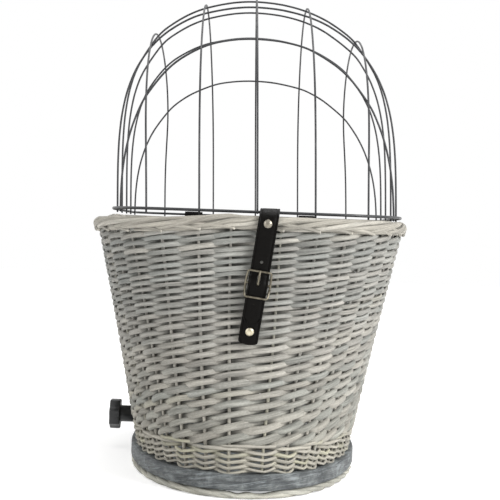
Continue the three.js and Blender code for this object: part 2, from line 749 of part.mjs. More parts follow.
// Claws: a head in the channel, a tongue through the board and a lip that hooks the rack
function clawGeometry(sign, boss) {
  const headHalf = channelInner / 2 - clearance;
  const headTop = channelBase + channelHeight - sheetMetal - clearance;
  const shoulder = boardTop + clearance;
  const t = clawWidth / 2;
  const outline = [[-t, clawAboveFloor], [t, clawAboveFloor], [t, shoulder], [headHalf, shoulder],
    [headHalf, headTop], [-headHalf, headTop], [-headHalf, shoulder], [-t, shoulder]];
  const shape = new THREE.Shape(outline.map(([y, z]) => new THREE.Vector2(y, z)));
  const plate = new THREE.ExtrudeGeometry(shape, { depth: clawThickness, bevelEnabled: false });
  plate.applyMatrix4(new THREE.Matrix4().makeBasis(Y, Z, X)).translate(-clawHalf, 0, 0);
  const lipShape = new THREE.Shape([
    new THREE.Vector2(0, clawAboveFloor), new THREE.Vector2(clawHalf + clawLip, clawAboveFloor),
    new THREE.Vector2(clawHalf + clawLip, clawAboveFloor + clawLipThickness),
    new THREE.Vector2(clawHalf + 2, clawAboveFloor + clawLipThickness),
    new THREE.Vector2(0, clawAboveFloor + clawLipThickness + 2)]);
  const lip = new THREE.ExtrudeGeometry(lipShape, { depth: clawWidth, bevelEnabled: false });
  lip.rotateX(Math.PI / 2).translate(0, t, 0);
  if (sign > 0) lip.rotateZ(Math.PI);
  const pieces = [plate, lip];
  const end = new THREE.Vector3(-sign * (clawHalf + boss), 0, screwZ);
  if (boss > 0) pieces.push(rod(new THREE.Vector3(0, 0, screwZ), end, nutRadius, 6));
  const boreEnds = [-1, 1].map((end) => new THREE.Vector3(end * (clawThickness + nutLength), 0, screwZ));
  const bore = drill(...boreEnds, screwRadius + clearance);
  return cut(join(pieces), [bore]).translate(sign * clawOffset, clampY, 0);
}
add('clamp_claw_fixed', 'alloy', clawGeometry(-1, 0));
add('clamp_claw_sliding', 'alloy', clawGeometry(1, nutLength));

screwPlaces.forEach(([x, y], i) => {
  const tip = -woodScrewLength;
  const profile = [
    [0, tip], [woodScrewShank * 0.5, tip + 1.5], [woodScrewShank, tip + 4],
    [woodScrewShank, 0], [woodScrewHead, 0], [woodScrewHead, 1], [woodScrewHead * 0.7, 2], [0, 2.4],
  ];
  const geometry = new THREE.LatheGeometry(profile.map(([r, z]) => new THREE.Vector2(r, z)), 8);
  add(`wood_screw_${i + 1}`, 'steel', geometry.rotateX(Math.PI / 2).translate(x, y, screwSeat));
});

// Screw, washer and star knob
const wallOuterX = (z) => {
  const share = (z - wallBottom) / wallHeight;
  return planHalf(wallLower, clampY) * (1 - share) + planHalf(wallUpper, clampY) * share;
};
const washerFace = wallOuterX(screwZ + knobWasherRadius) + clearance + curveAllowance;
const collarEnd = washerFace + knobWasherThickness + clearance;
const headFace = collarEnd + collarLength;
const screwEnd = headFace + knobGrip;
add('knob_washer', 'steel', washer(knobWasherRadius, screwRadius + clearance, knobWasherThickness)
  .rotateY(Math.PI / 2).translate(-collarEnd + clearance, clampY, screwZ));
add('clamp_screw', 'steel', rod(
  new THREE.Vector3(-screwEnd, clampY, screwZ),
  new THREE.Vector3(clawOffset + clawThickness + clawHalf, clampY, screwZ), screwRadius));

function knobGeometry() {
  const points = [];
  const count = knobLobes * 6;
  for (let i = 0; i < count; i += 1) {
    const turn = (2 * Math.PI * i) / count;
    const radius = knobRadius - knobBevel - knobScallop * (0.5 - 0.5 * Math.cos(knobLobes * turn));
    points.push(new THREE.Vector2(radius * Math.cos(turn), radius * Math.sin(turn)));
  }
  const head = new THREE.ExtrudeGeometry(new THREE.Shape(points), {
    depth: knobThickness - 2 * knobBevel,
    bevelEnabled: true,
    bevelThickness: knobBevel,
    bevelSize: knobBevel,
    bevelSegments: 1,
  });
  head.rotateY(Math.PI / 2).translate(-headFace - knobThickness + knobBevel, clampY, screwZ);
  const collar = rod(
    new THREE.Vector3(-headFace - 2 * knobBevel, clampY, screwZ),
    new THREE.Vector3(-collarEnd, clampY, screwZ), collarRadius, 20);
  const bore = drill(
    new THREE.Vector3(-screwEnd - clearance, clampY, screwZ),
    new THREE.Vector3(0, clampY, screwZ), screwRadius + clearance);
  return cut(join([head, collar]), [bore]);
}
add('star_knob', 'plastic', knobGeometry());

// Rivets and washers of the lower strap and the hinge loops
function wallRivet(name, finish, matrix, seat) {
  const shank = doubled + clearance + seat + washerThickness + rivetTail;
  add(`${name}_rivet`, finish, rivet(shank).applyMatrix4(matrix));
  const inside = washer(washerRadius, rivetShank + clearance, washerThickness);
  inside.translate(0, 0, -doubled - clearance - seat - washerThickness);
  add(`${name}_washer`, 'steel', inside.applyMatrix4(matrix));
}

// How deep the washer lies behind the strap: clear of the wall's inner side at its upper and lower edge
function seatOf(frame, up) {
  const depths = [-washerRadius, washerRadius].map((along) => {
    const p = frame.place(0, up + along, 0);
    return (Math.abs(p.y) - wallReach(frame.side, p.x, p.z) + wallThickness) / Math.abs(frame.w.y);
  });
  return Math.max(...depths) + clearance + curveAllowance;
}
wallRivet('lower_strap', 'brass', lowerRivetMatrix, seatOf(closure, lowerRivetUp));

// Hinge loops: two layers riveted to the wall and folded round the ring
hinges.forEach((frame, i) => {
  const name = i === 0 ? 'hinge_left' : 'hinge_right';
  const line = (w, ups) => ups.map((up) => frame.place(0, up, w));
  const outerLayer = leather / 2 + layerStep;
  const ends = [0, loopStraight];
  const path = [
    ...line(leather / 2, ends), ...foldPoints(frame, ringFar, -frame.lean),
    ...line(outerLayer, ends.toReversed()),
  ];
  const bored = hole(rivetShank + clearance, -doubled - 3, leather).applyMatrix4(hingeRivetMatrices[i]);
  add(`${name}_loop`, 'leather', cut(sweep(path, bandSection(hingeWidth, leather), X), [bored]));
  wallRivet(name, 'nickel', hingeRivetMatrices[i], seatOf(frame, hingeRivetUp));
});

// Cage: a ring, hoops on a domed surface and bows that rest on the hoops
const wireGap = ringWire + cageWire + clearance;
const wireCross = 2 * cageWire + clearance;
const domePlan = {
  ...ring, half: ring.half - wireGap - clearance,
  near: ring.near - wireGap - wireCross - clearance, far: ring.far - wireGap - wireCross,
};

function domeAt(x, y) {
  const reach = y < 0 ? domePlan.near : domePlan.far;
  const share = Math.min(1, Math.abs(y) / reach);
  const height = domeHeight * (1 - domeDrop * share ** 2) * (1 - share ** domePower) ** (1 / domePower);
  const { acrossPower, risePower } = hoopPowers(y);
  const across = Math.min(1, Math.abs(x) / Math.max(1e-6, planHalf(domePlan, y)));
  return height * (1 - across ** acrossPower) ** (1 / risePower);
}

// The middle hoops have upright legs under a round top, and the end ones are nearer to ovals
function hoopPowers(y) {
  const last = (hoopSpacing * (hoopCount - 1)) / 2;
  const end = Math.min(1, Math.abs(y) / last) ** hoopFade;
  return {
    acrossPower: hoopAcrossMiddle + (hoopAcrossEnd - hoopAcrossMiddle) * end,
    risePower: hoopRiseMiddle + (hoopRiseEnd - hoopRiseMiddle) * end,
  };
}

const leaning = (x, y, up) => new THREE.Vector3(x + cageLean * up, y, ringZ + up);
const lines = (count, spacing) => Array.from({ length: count }, (_, i) => (i - (count - 1) / 2) * spacing);
const bowLines = lines(bowCount, bowSpacing);
const hoopLines = lines(hoopCount, hoopSpacing);

function hoopPoints(y) {
  const half = planHalf(domePlan, y);
  const { acrossPower } = hoopPowers(y);
  const at = (t) => {
    const x = half * power(Math.cos(Math.PI * t), 2 / acrossPower);
    return leaning(x, y, domeAt(x, y));
  };
  const kept = bowLines.map((x) => Math.acos(power(x / half, acrossPower / 2)) / Math.PI);
  const points = evenly(at, hoopSteps, kept);
  const drop = new THREE.Vector3(0, 0, -legOverhang);
  return [points[0].clone().add(drop), ...points, points[points.length - 1].clone().add(drop)];
}

function bowX(line, y) {
  const reach = y < 0 ? domePlan.near : domePlan.far;
  const ends = y < 0 ? bowPinchNear : bowSpreadFar;
  const outer = Math.abs(line) > 1.5 * bowSpacing ? 1 : 0;
  return line * (1 + outer * ends * (Math.abs(y) / reach) ** 8);
}

// Where a bow's line meets the edge of the dome, by halving
function bowEnd(line, side) {
  let low = 0;
  let high = side < 0 ? domePlan.near : domePlan.far;
  for (let i = 0; i < 40; i += 1) {
    const middle = (low + high) / 2;
    if (planHalf(domePlan, side * middle) > Math.abs(bowX(line, side * middle))) low = middle;
    else high = middle;
  }
  return side * low;
}

// A bow rests on the hoops: it follows the dome at the height of two wires, square to its slope
function bowPoints(line) {
  const near = bowEnd(line, -1);
  const far = bowEnd(line, 1);
  const middle = (near + far) / 2;
  const half = (far - near) / 2;
  const rise = (y) => domeAt(bowX(line, y), y);
  const crowding = 0.6;
  const at = (t) => {
    const y = middle - half * power(Math.cos(Math.PI * t), crowding);
    const d = cageWire / 2;
    const step = Math.min(d, (half - Math.abs(y - middle)) / 2);
    const upright = y < middle ? 1e4 : -1e4;
    const slope = step > 1e-4 ? (rise(y + step) - rise(y - step)) / (2 * step) : upright;
    const x = bowX(line, y);
    const cross = (domeAt(x + d, y) - domeAt(x - d, y)) / (2 * d);
    const steep = Math.hypot(1, slope);
    const off = wireCross * Math.hypot(1, cross / steep);
    return leaning(x, y - (off * slope) / steep, rise(y) + off / steep);
  };
  const kept = hoopLines.map((y) => Math.acos(power((middle - y) / half, 1 / crowding)) / Math.PI);
  const points = evenly(at, bowSteps, kept);
  const drop = new THREE.Vector3(0, 0, -legOverhang);
  return [points[0].clone().add(drop), ...points, points[points.length - 1].clone().add(drop)];
}

const ringLoop = planLoop(ring, ringZ, ringSteps);
add('cage_ring', 'wire', sweep(ringLoop, circle(ringWire, wireSides), Z, true), cage);
hoopLines.forEach((y, i) => {
  add(`cage_hoop_${i + 1}`, 'wire', sweep(hoopPoints(y), circle(cageWire, wireSides), Y), cage);
});
bowLines.forEach((x, i) => {
  add(`cage_bow_${i + 1}`, 'wire', sweep(bowPoints(x), circle(cageWire, wireSides), X), cage);
});

// The origin lies under the middle of the whole footprint
basket.updateMatrixWorld(true);
const middle = new THREE.Box3().setFromObject(basket, true).getCenter(new THREE.Vector3());
basket.position.set(-middle.x, -middle.y, 0);

export default basket;
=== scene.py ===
# The looks of the bicycle basket for a dog: woven willow, twisted borders, leather, wires and metal.
# The basket's lengths are in mm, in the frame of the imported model, and mm turns them to metres. The
# materials, floor, lights and camera are in metres. Heights are from the floor.
import json
import math

import bmesh
import bpy
import numpy as np
from mathutils import Matrix, Vector

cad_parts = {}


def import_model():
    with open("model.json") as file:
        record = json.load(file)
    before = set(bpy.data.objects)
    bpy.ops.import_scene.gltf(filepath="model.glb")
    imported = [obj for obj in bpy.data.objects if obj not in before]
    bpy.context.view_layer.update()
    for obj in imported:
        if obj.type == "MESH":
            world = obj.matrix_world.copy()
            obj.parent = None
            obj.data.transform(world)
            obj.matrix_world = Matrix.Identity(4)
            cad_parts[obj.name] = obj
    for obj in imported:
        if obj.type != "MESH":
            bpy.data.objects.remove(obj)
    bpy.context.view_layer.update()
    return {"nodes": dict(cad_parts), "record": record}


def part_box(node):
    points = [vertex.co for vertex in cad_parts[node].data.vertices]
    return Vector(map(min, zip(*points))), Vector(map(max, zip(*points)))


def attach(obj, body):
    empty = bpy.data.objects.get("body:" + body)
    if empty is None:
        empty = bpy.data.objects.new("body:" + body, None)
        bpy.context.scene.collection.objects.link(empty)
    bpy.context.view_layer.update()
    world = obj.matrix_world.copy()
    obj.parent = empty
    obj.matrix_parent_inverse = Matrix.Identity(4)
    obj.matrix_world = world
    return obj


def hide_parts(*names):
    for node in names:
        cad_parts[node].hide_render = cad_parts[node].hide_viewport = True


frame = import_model()
mm = 0.001
TAU = 2 * math.pi

# Sizes of the model, in millimetres, as its source has them
CLEARANCE = 0.3
WALL_THICKNESS = 11
RIM_RADIUS = 6.7
RIM_INSET = 2.2
FOOT_WIDTH, FOOT_INSET = 12, 6.5
LEATHER, STRAP_WIDTH, HINGE_WIDTH = 1.8, 18, 22
RING_WIRE = 1.5
CURVE_ALLOWANCE = 0.15
BOARD = dict(half=119, near=251, far=254, mid=15, near_power=2.1, far_power=4.5, taper=0)
WALL_TOP = dict(half=155.5, near=276, far=276, mid=0, near_power=4.6, far_power=8, taper=0.044 / 276)
RING_NEAR, RING_FAR = 267, 267
WALL_MARGIN = 4


def inset(plan, by):
    return {**plan, "half": plan["half"] - by, "near": plan["near"] - by, "far": plan["far"] - by}


WALL_FOOT = inset(BOARD, WALL_MARGIN)
RIM = inset(WALL_TOP, RIM_INSET)
FOOT = inset(BOARD, FOOT_INSET)

board_low, board_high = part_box("base_board")
wall_low, wall_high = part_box("wicker_wall")
foot_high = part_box("foot_border")[1]
ring_low, ring_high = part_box("cage_ring")
SHIFT_Y = (board_low.y + board_high.y) / 2 / mm - (BOARD["far"] - BOARD["near"]) / 2
WALL_BOTTOM, WALL_TOP_Z = wall_low.z / mm, wall_high.z / mm
RIM_Z = WALL_TOP_Z + CLEARANCE + RIM_RADIUS
RING_Z = (ring_low.z + ring_high.z) / 2 / mm


# Plans ---------------------------------------------------------------------------------------

def plan_curve(plan, fine=4000):
    """The plan's outline as points at even distances, from the middle of the straight side to -X."""
    turn = math.pi * (0.5 + 2 * np.arange(fine + 1) / fine)
    c, s = np.cos(turn), np.sin(turn)
    exponent = np.where(s < 0, 2 / plan["near_power"], 2 / plan["far_power"])
    reach = np.where(s < 0, plan["near"] + plan["mid"], plan["far"] - plan["mid"])
    y = plan["mid"] + reach * np.sign(s) * np.abs(s) ** exponent
    x = plan["half"] * np.sign(c) * np.abs(c) ** exponent * (1 + plan["taper"] * y)
    points = np.stack([x, y + SHIFT_Y], 1)
    along = np.concatenate([[0], np.cumsum(np.linalg.norm(np.diff(points, axis=0), axis=1))])
    wanted = np.linspace(0, along[-1], 1441)
    even = np.stack([np.interp(wanted, along, points[:, i]) for i in (0, 1)], 1)[:-1]
    return even, along[-1]


def outward_of(points):
    tangent = np.roll(points, -3, axis=0) - np.roll(points, 3, axis=0)
    normal = np.stack([tangent[:, 1], -tangent[:, 0]], 1)
    normal /= np.linalg.norm(normal, axis=1)[:, None]
    if np.sum(normal * (points - points.mean(0))) < 0:
        normal = -normal
    return normal


class Loop:
    """A closed outline, read by the share of its length from the middle of the straight side."""

    def __init__(self, plan):
        self.points, self.length = plan_curve(plan)
        self.normals = outward_of(self.points)

    def read(self, values, share):
        at = np.mod(share, 1.0) * len(values)
        low = np.floor(at).astype(int) % len(values)
        part = (at - np.floor(at))[:, None]
        return values[low] * (1 - part) + values[(low + 1) % len(values)] * part

    def at(self, share):
        return self.read(self.points, share), self.read(self.normals, share)


low_loop, high_loop = Loop(WALL_FOOT), Loop(WALL_TOP)


def on_wall(share, z, depth):
    """Points in the wall: share of the way round, height and depth from the outer face, in mm."""
    share, z, depth = np.broadcast_arrays(share, z, depth)
    p0, n0 = low_loop.at(share)
    p1, n1 = high_loop.at(share)
    h = ((z - WALL_BOTTOM) / (WALL_TOP_Z - WALL_BOTTOM))[:, None]
    p = p0 * (1 - h) + p1 * h
    n = n0 * (1 - h) + n1 * h
    n /= np.linalg.norm(n, axis=1)[:, None]
    xy = p - n * depth[:, None]
    return np.column_stack([xy, z]), np.column_stack([n, np.zeros(len(z))])


# Meshes of many rods -------------------------------------------------------------------------

class Rods:
    """Tubes gathered in one mesh, with a UV along each rod and two values for each point: a tint, and a
    tone that also carries painted shade.
    """

    def __init__(self):
        self.verts, self.quads, self.uvs, self.tints, self.tones = [], [], [], [], []
        self.count = 0

    def tube(self, points, wide, high, ra, rb, sides=7, closed=False, tint=0.5, tone_and_painted_shade=0.5, offset=0.0):
        """points in mm; wide and high are the section's two directions, with radii ra and rb."""
        n = len(points)
        ra, rb = np.broadcast_to(ra, n), np.broadcast_to(rb, n)
        tint, tone_and_painted_shade = np.broadcast_to(tint, n), np.broadcast_to(tone_and_painted_shade, n)
        turn = TAU * (np.arange(sides) + 0.5) / sides
        ring = (points[:, None, :]
                + wide[:, None, :] * (ra[:, None] * np.cos(turn)[None, :])[..., None]
                + high[:, None, :] * (rb[:, None] * np.sin(turn)[None, :])[..., None])
        self.verts.append(ring.reshape(-1, 3) * mm)
        segs = n if closed else n - 1
        i = np.arange(segs)
        j = np.arange(sides)
        a = i[:, None] * sides + j[None, :]
        b = i[:, None] * sides + (j[None, :] + 1) % sides
        nxt = ((i + 1) % n)[:, None] * sides
        c = nxt + (j[None, :] + 1) % sides
        d = nxt + j[None, :]
        quads = np.stack([a, d, c, b], -1).reshape(-1, 4) + self.count
        self.quads.append(quads)
        step = np.linalg.norm(np.roll(points, -1, axis=0) - points, axis=1)
        along = np.concatenate([[0], np.cumsum(step)])[:segs + 1] * mm + offset
        u0 = np.repeat(along[:-1], sides)
        u1 = np.repeat(along[1:], sides)
        v0 = np.tile(j / sides, segs)
        v1 = np.tile((j + 1) / sides, segs)
        uv = np.stack([np.stack([u0, v0], 1), np.stack([u1, v0], 1),
                       np.stack([u1, v1], 1), np.stack([u0, v1], 1)], 1)
        self.uvs.append(uv.reshape(-1, 2))
        self.tints.append(np.repeat(tint, sides))
        self.tones.append(np.repeat(tone_and_painted_shade, sides))
        self.count += n * sides

    def build(self, name, material, body, replaces=()):
        verts = np.concatenate(self.verts)
        quads = np.concatenate(self.quads)
        mesh = bpy.data.meshes.new(name)
        mesh.vertices.add(len(verts))
        mesh.vertices.foreach_set("co", verts.astype(np.float32).ravel())
        mesh.loops.add(len(quads) * 4)
        mesh.loops.foreach_set("vertex_index", quads.astype(np.int32).ravel())
        mesh.polygons.add(len(quads))
        mesh.polygons.foreach_set("loop_start", np.arange(0, len(quads) * 4, 4, dtype=np.int32))
        mesh.polygons.foreach_set("use_smooth", np.ones(len(quads), bool))
        mesh.update(calc_edges=True)
        uv = mesh.uv_layers.new(name="rod")
        uv.data.foreach_set("uv", np.concatenate(self.uvs).astype(np.float32).ravel())
        for label, values in (("tint", self.tints), ("tone_and_painted_shade", self.tones)):
            attribute = mesh.attributes.new(label, "FLOAT", "POINT")
            attribute.data.foreach_set("value", np.concatenate(values).astype(np.float32))
        return place(name, mesh, material, body, replaces)


def place(name, mesh, material, body, replaces=()):
    obj = bpy.data.objects.new(name, mesh)
    bpy.context.scene.collection.objects.link(obj)
    mesh.materials.clear()
    mesh.materials.append(material)
    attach(obj, body)
    if replaces:
        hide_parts(*replaces)
    return obj


def noise_row(count, size, seed):
    """Smooth random values round a closed row, of about the given size."""
    local = np.random.default_rng(seed)
    knots = local.normal(0, 1, count)
    kernel = np.array([0.25, 0.5, 0.25])
    wrapped = np.concatenate([knots[-1:], knots, knots[:1]])
    return np.convolve(wrapped, kernel, "valid") * size


def closed_noise(count, size, seed):
    """The same row with its first value again at its end."""
    row = noise_row(count, size, seed)
    return np.append(row, row[:1])


# Materials -----------------------------------------------------------------------------------

class Nodes:
    """A short way to write a node material."""

    def __init__(self, name):
        self.material = bpy.data.materials.new(name)
        self.material.use_nodes = True
        self.tree = self.material.node_tree
        self.tree.nodes.clear()
        self.output = self.tree.nodes.new("ShaderNodeOutputMaterial")
        self.bsdf = self.tree.nodes.new("ShaderNodeBsdfPrincipled")
        self.tree.links.new(self.bsdf.outputs[0], self.output.inputs[0])

    def node(self, kind, **values):
        node = self.tree.nodes.new("ShaderNode" + kind)
        for key, value in values.items():
            setattr(node, key, value)
        return node

    def link(self, out, into):
        self.tree.links.new(out, into)

    def coords(self, scale, uv=None):
        if uv:
            source = self.node("UVMap", uv_map=uv).outputs[0]
        else:
            source = self.node("TexCoord").outputs["Object"]
        mapping = self.node("Mapping")
        mapping.inputs["Scale"].default_value = scale
        self.link(source, mapping.inputs["Vector"])
        return mapping.outputs[0]

    def noise(self, vector, scale=1.0, detail=4.0, rough=0.6, distortion=0.0):
        node = self.node("TexNoise")
        node.inputs["Scale"].default_value = scale
        node.inputs["Detail"].default_value = detail
        node.inputs["Roughness"].default_value = rough
        node.inputs["Distortion"].default_value = distortion
        self.link(vector, node.inputs["Vector"])
        return node.outputs[0]

    def ramp(self, value, stops):
        node = self.node("ValToRGB")
        elements = node.color_ramp.elements
        while len(elements) < len(stops):
            elements.new(0.5)
        for element, (position, color) in zip(elements, stops):
            element.position = position
            element.color = color if len(color) == 4 else (*color, 1)
        self.link(value, node.inputs[0])
        return node.outputs[0]

    def mix(self, factor, a, b, blend="MIX"):
        node = self.node("Mix", data_type="RGBA", blend_type=blend)
        for socket, value in ((node.inputs[0], factor), (node.inputs[6], a), (node.inputs[7], b)):
            if hasattr(value, "is_output"):
                self.link(value, socket)
            elif isinstance(value, (int, float)):
                socket.default_value = value
            else:
                socket.default_value = (*value, 1) if len(value) == 3 else value
        return node.outputs[2]

    def math(self, operation, a, b=0.0, c=0.5):
        node = self.node("Math", operation=operation)
        for socket, value in ((node.inputs[0], a), (node.inputs[1], b), (node.inputs[2], c)):
            if hasattr(value, "is_output"):
                self.link(value, socket)
            else:
                socket.default_value = value
        return node.outputs[0]

    def attribute(self, name):
        return self.node("Attribute", attribute_name=name).outputs["Fac"]

    def bump(self, height, distance, strength=1.0, normal=None):
        node = self.node("Bump")
        node.inputs["Strength"].default_value = strength
        node.inputs["Distance"].default_value = distance
        self.link(height, node.inputs["Height"])
        if normal:
            self.link(normal, node.inputs["Normal"])
        return node.outputs[0]

    def finish(self, color=None, roughness=None, normal=None, metallic=0.0, specular=0.5):
        for name, value in (("Base Color", color), ("Roughness", roughness), ("Normal", normal)):
            if value is None:
                continue
            if hasattr(value, "is_output"):
                self.link(value, self.bsdf.inputs[name])
            elif isinstance(value, (int, float)):
                self.bsdf.inputs[name].default_value = value
            else:
                self.bsdf.inputs[name].default_value = (*value, 1)
        self.bsdf.inputs["Metallic"].default_value = metallic
        self.bsdf.inputs["Specular IOR Level"].default_value = specular
        return self.material


def grey(level):
    return (level, level, level)


def linear(r, g, b):
    """A colour of the photograph, 0 to 255, as linear light."""
    def one(v):
        v /= 255
        return v / 12.92 if v <= 0.04045 else ((v + 0.055) / 1.055) ** 2.4
    return (one(r), one(g), one(b))


def willow(name, tones, dirt, crevice_shade_low):
    """Dry peeled rods: a colour for each rod, streaks along it, dark nodes, painted shade from the tone and
    on the rods' sides, and a matt surface.
    """
    m = Nodes(name)
    fibre = m.noise(m.coords((90, 9, 1), "rod"), 1.0, 5, 0.62)
    streak = m.noise(m.coords((26, 7, 1), "rod"), 1.0, 4, 0.6, 0.4)
    speck = m.noise(m.coords((420, 24, 1), "rod"), 1.0, 3, 0.6)
    blotch = m.noise(m.coords((14, 1.2, 1), "rod"), 1.0, 3, 0.5)
    broad = m.noise(m.coords((9, 9, 9)), 1.0, 3, 0.5)
    by_rod = m.ramp(m.attribute("tint"), tones)
    streaked = m.mix(m.math("MULTIPLY", fibre, 0.55), by_rod, dirt, "MIX")
    patched = m.mix(m.ramp(blotch, [(0.36, grey(0.62)), (0.6, grey(1.0))]), (0.0, 0.0, 0.0), streaked)
    # painted shade: the tone darkens the colour where the rods lie in shade
    shade = m.ramp(m.attribute("tone_and_painted_shade"), [(0, grey(0.24)), (0.8, grey(0.95)), (1, grey(1.2))])
    shaded = m.mix(1.0, patched, shade, "MULTIPLY")
    # painted shade: each rod is darker on its sides and back, away from its outward face, where the rods
    # meet
    side = m.node("SeparateXYZ")
    m.link(m.node("UVMap", uv_map="rod").outputs[0], side.inputs[0])
    facing = m.math("COSINE", m.math("MULTIPLY", side.outputs[1], TAU))
    painted_crevice_shade = m.ramp(m.math("MULTIPLY_ADD", facing, 0.5), [(0.4, grey(crevice_shade_low)), (0.72, grey(1.0))])
    faded = m.mix(m.math("MULTIPLY", broad, 0.22), shaded, (0.34, 0.355, 0.34), "MIX")
    streaks = m.ramp(streak, [(0.32, grey(0.72)), (0.5, grey(0.97)), (0.68, grey(1.16))])
    worn = m.mix(1.0, faded, streaks, "MULTIPLY")
    place_in = m.node("SeparateXYZ")
    m.link(m.node("TexCoord").outputs["Object"], place_in.inputs[0])
    warmth = m.ramp(place_in.outputs[2], [(0.04, (1.0, 0.985, 0.935)), (0.17, (1.0, 1.0, 1.0))])
    specked = m.mix(1.0, worn, m.ramp(speck, [(0.3, grey(0.82)), (0.7, grey(1.14))]), "MULTIPLY")
    warm = m.mix(1.0, specked, warmth, "MULTIPLY")
    final = m.mix(1.0, warm, painted_crevice_shade, "MULTIPLY")
    height = m.math("ADD", m.math("MULTIPLY", fibre, 0.6), m.math("MULTIPLY", streak, 0.6))
    normal = m.bump(height, 0.0008, 0.7)
    rough = m.ramp(fibre, [(0.2, grey(0.55)), (0.8, grey(0.85))])
    return m.finish(final, rough, normal, specular=0.3)


WALL_TONES = [
    (0.0, linear(168, 170, 165)), (0.3, linear(182, 181, 174)), (0.55, linear(193, 189, 181)),
    (0.8, linear(200, 196, 186)), (1.0, linear(202, 200, 178)),
]
RIM_TONES = [
    (0.0, linear(164, 160, 150)), (0.4, linear(182, 177, 166)), (0.75, linear(194, 189, 177)),
    (1.0, linear(202, 198, 188)),
]
FOOT_TONES = [
    (0.0, linear(204, 204, 197)), (0.5, linear(220, 219, 210)), (1.0, linear(232, 230, 220)),
]
willow_wall = willow("willow", WALL_TONES, linear(96, 94, 88), 0.8)
willow_rim = willow("willow_rim", RIM_TONES, linear(140, 132, 118), 0.5)
willow_foot = willow("willow_foot", FOOT_TONES, linear(110, 110, 105), 0.34)


def plywood():
    m = Nodes("plywood")
    source = m.node("TexCoord").outputs["Object"]
    parts = m.node("SeparateXYZ")
    m.link(source, parts.inputs[0])
    slant = m.node("Mapping")
    slant.inputs["Rotation"].default_value = (0.1, 0.16, 0)
    m.link(source, slant.inputs["Vector"])
    stretch = m.node("Mapping")
    stretch.inputs["Scale"].default_value = (34, 34, 520)
    m.link(slant.outputs[0], stretch.inputs["Vector"])
    grain = m.noise(m.coords((46, 30, 60)), 1.0, 6, 0.72, 0.5)
    scratch = m.noise(stretch.outputs[0], 1.0, 5, 0.7, 0.8)
    plies = m.node("TexWave", wave_type="BANDS", bands_direction="Z")
    plies.inputs["Scale"].default_value = 52
    plies.inputs["Distortion"].default_value = 3.0
    plies.inputs["Detail"].default_value = 3
    plies.inputs["Detail Scale"].default_value = 3.0
    m.link(source, plies.inputs["Vector"])
    stain = m.ramp(grain, [(0.34, linear(56, 60, 62)), (0.5, linear(94, 97, 97)),
                           (0.66, linear(136, 141, 141))])
    edged = m.mix(m.math("MULTIPLY", plies.outputs[0], 0.4), stain, linear(58, 62, 66))
    scratched = m.ramp(scratch, [(0.34, grey(0.9)), (0.46, grey(0)), (0.53, grey(0)), (0.64, grey(0.7))])
    scars = m.ramp(scratch, [(0.45, linear(52, 55, 58)), (0.55, linear(140, 146, 148))])
    worn = m.mix(scratched, edged, scars)
    height = m.math("ADD", m.math("MULTIPLY", grain, 0.5), m.math("MULTIPLY", scratch, 0.5))
    rough = m.ramp(grain, [(0.2, grey(0.5)), (0.8, grey(0.75))])
    return m.finish(worn, rough, m.bump(height, 0.0006, 0.5), specular=0.35)


def wire_coat():
    m = Nodes("black_wire")
    speck = m.noise(m.coords((1400, 1400, 1400)), 1.0, 2, 0.5)
    patch = m.noise(m.coords((60, 60, 60)), 1.0, 3, 0.5)
    color = m.mix(patch, linear(24, 25, 27), linear(45, 46, 49))
    rough = m.ramp(patch, [(0.3, grey(0.32)), (0.7, grey(0.5))])
    return m.finish(color, rough, m.bump(speck, 0.0002, 0.35), specular=0.5)


def leather_black():
    m = Nodes("black_leather")
    cells = m.node("TexVoronoi", feature="DISTANCE_TO_EDGE")
    cells.inputs["Scale"].default_value = 1100
    m.link(m.coords((1, 1, 1)), cells.inputs["Vector"])
    grain = m.noise(m.coords((900, 900, 900)), 1.0, 4, 0.6)
    crease = m.noise(m.coords((130, 130, 300)), 1.0, 4, 0.6, 0.8)
    pores = m.ramp(cells.outputs[0], [(0.0, grey(0.2)), (0.25, grey(1))])
    height = m.math("ADD", m.math("MULTIPLY", pores, 0.5), m.math("MULTIPLY", grain, 0.5))
    fine = m.bump(height, 0.00018, 0.6)
    normal = m.bump(crease, 0.0009, 0.5, fine)
    color = m.mix(m.ramp(crease, [(0.35, grey(0)), (0.75, grey(1))]), linear(3, 2, 1), linear(8, 6, 4))
    return m.finish(color, m.ramp(crease, [(0.3, grey(0.28)), (0.7, grey(0.56))]), normal, specular=0.08)


def metal(name, color, dull, low, high, scale=240):
    m = Nodes(name)
    tarnish = m.noise(m.coords(grey(scale)), 1.0, 4, 0.6)
    scuff = m.noise(m.coords((scale * 6, scale * 6, scale)), 1.0, 3, 0.6)
    tint = m.mix(m.ramp(tarnish, [(0.4, grey(0)), (0.75, grey(1))]), color, dull)
    rough = m.ramp(scuff, [(0.3, grey(low)), (0.7, grey(high))])
    return m.finish(tint, rough, m.bump(scuff, 0.0001, 0.3), metallic=1.0)


def plastic_black():
    m = Nodes("black_plastic")
    fine = m.noise(m.coords((1500, 1500, 1500)), 1.0, 2, 0.5)
    patch = m.noise(m.coords((80, 80, 80)), 1.0, 3, 0.5)
    color = m.mix(patch, linear(15, 16, 17), linear(32, 33, 35))
    rough = m.ramp(patch, [(0.3, grey(0.26)), (0.7, grey(0.46))])
    return m.finish(color, rough, m.bump(fine, 0.0001, 0.4), specular=0.6)


materials = {
    "plywood": plywood(), "black_wire": wire_coat(), "black_leather": leather_black(),
    "nickel": metal("nickel", linear(146, 141, 130), linear(84, 78, 66), 0.2, 0.38),
    "brass": metal("brass", linear(204, 198, 178), linear(160, 150, 124), 0.22, 0.4),
    "steel": metal("steel", linear(188, 190, 192), linear(150, 152, 154), 0.28, 0.48),
    "cast_alloy": metal("cast_alloy", linear(176, 177, 178), linear(146, 147, 148), 0.42, 0.6, 420),
    "black_plastic": plastic_black(), "willow": willow_wall, "willow_border": willow_rim,
}
# the buckle and its prong are duller than the rivets of the same metal
buckle_metal = metal("buckle_metal", linear(122, 116, 102), linear(64, 58, 48), 0.24, 0.42)


# CAD nodes that stay, with their materials and soft edges ----------------------------------------

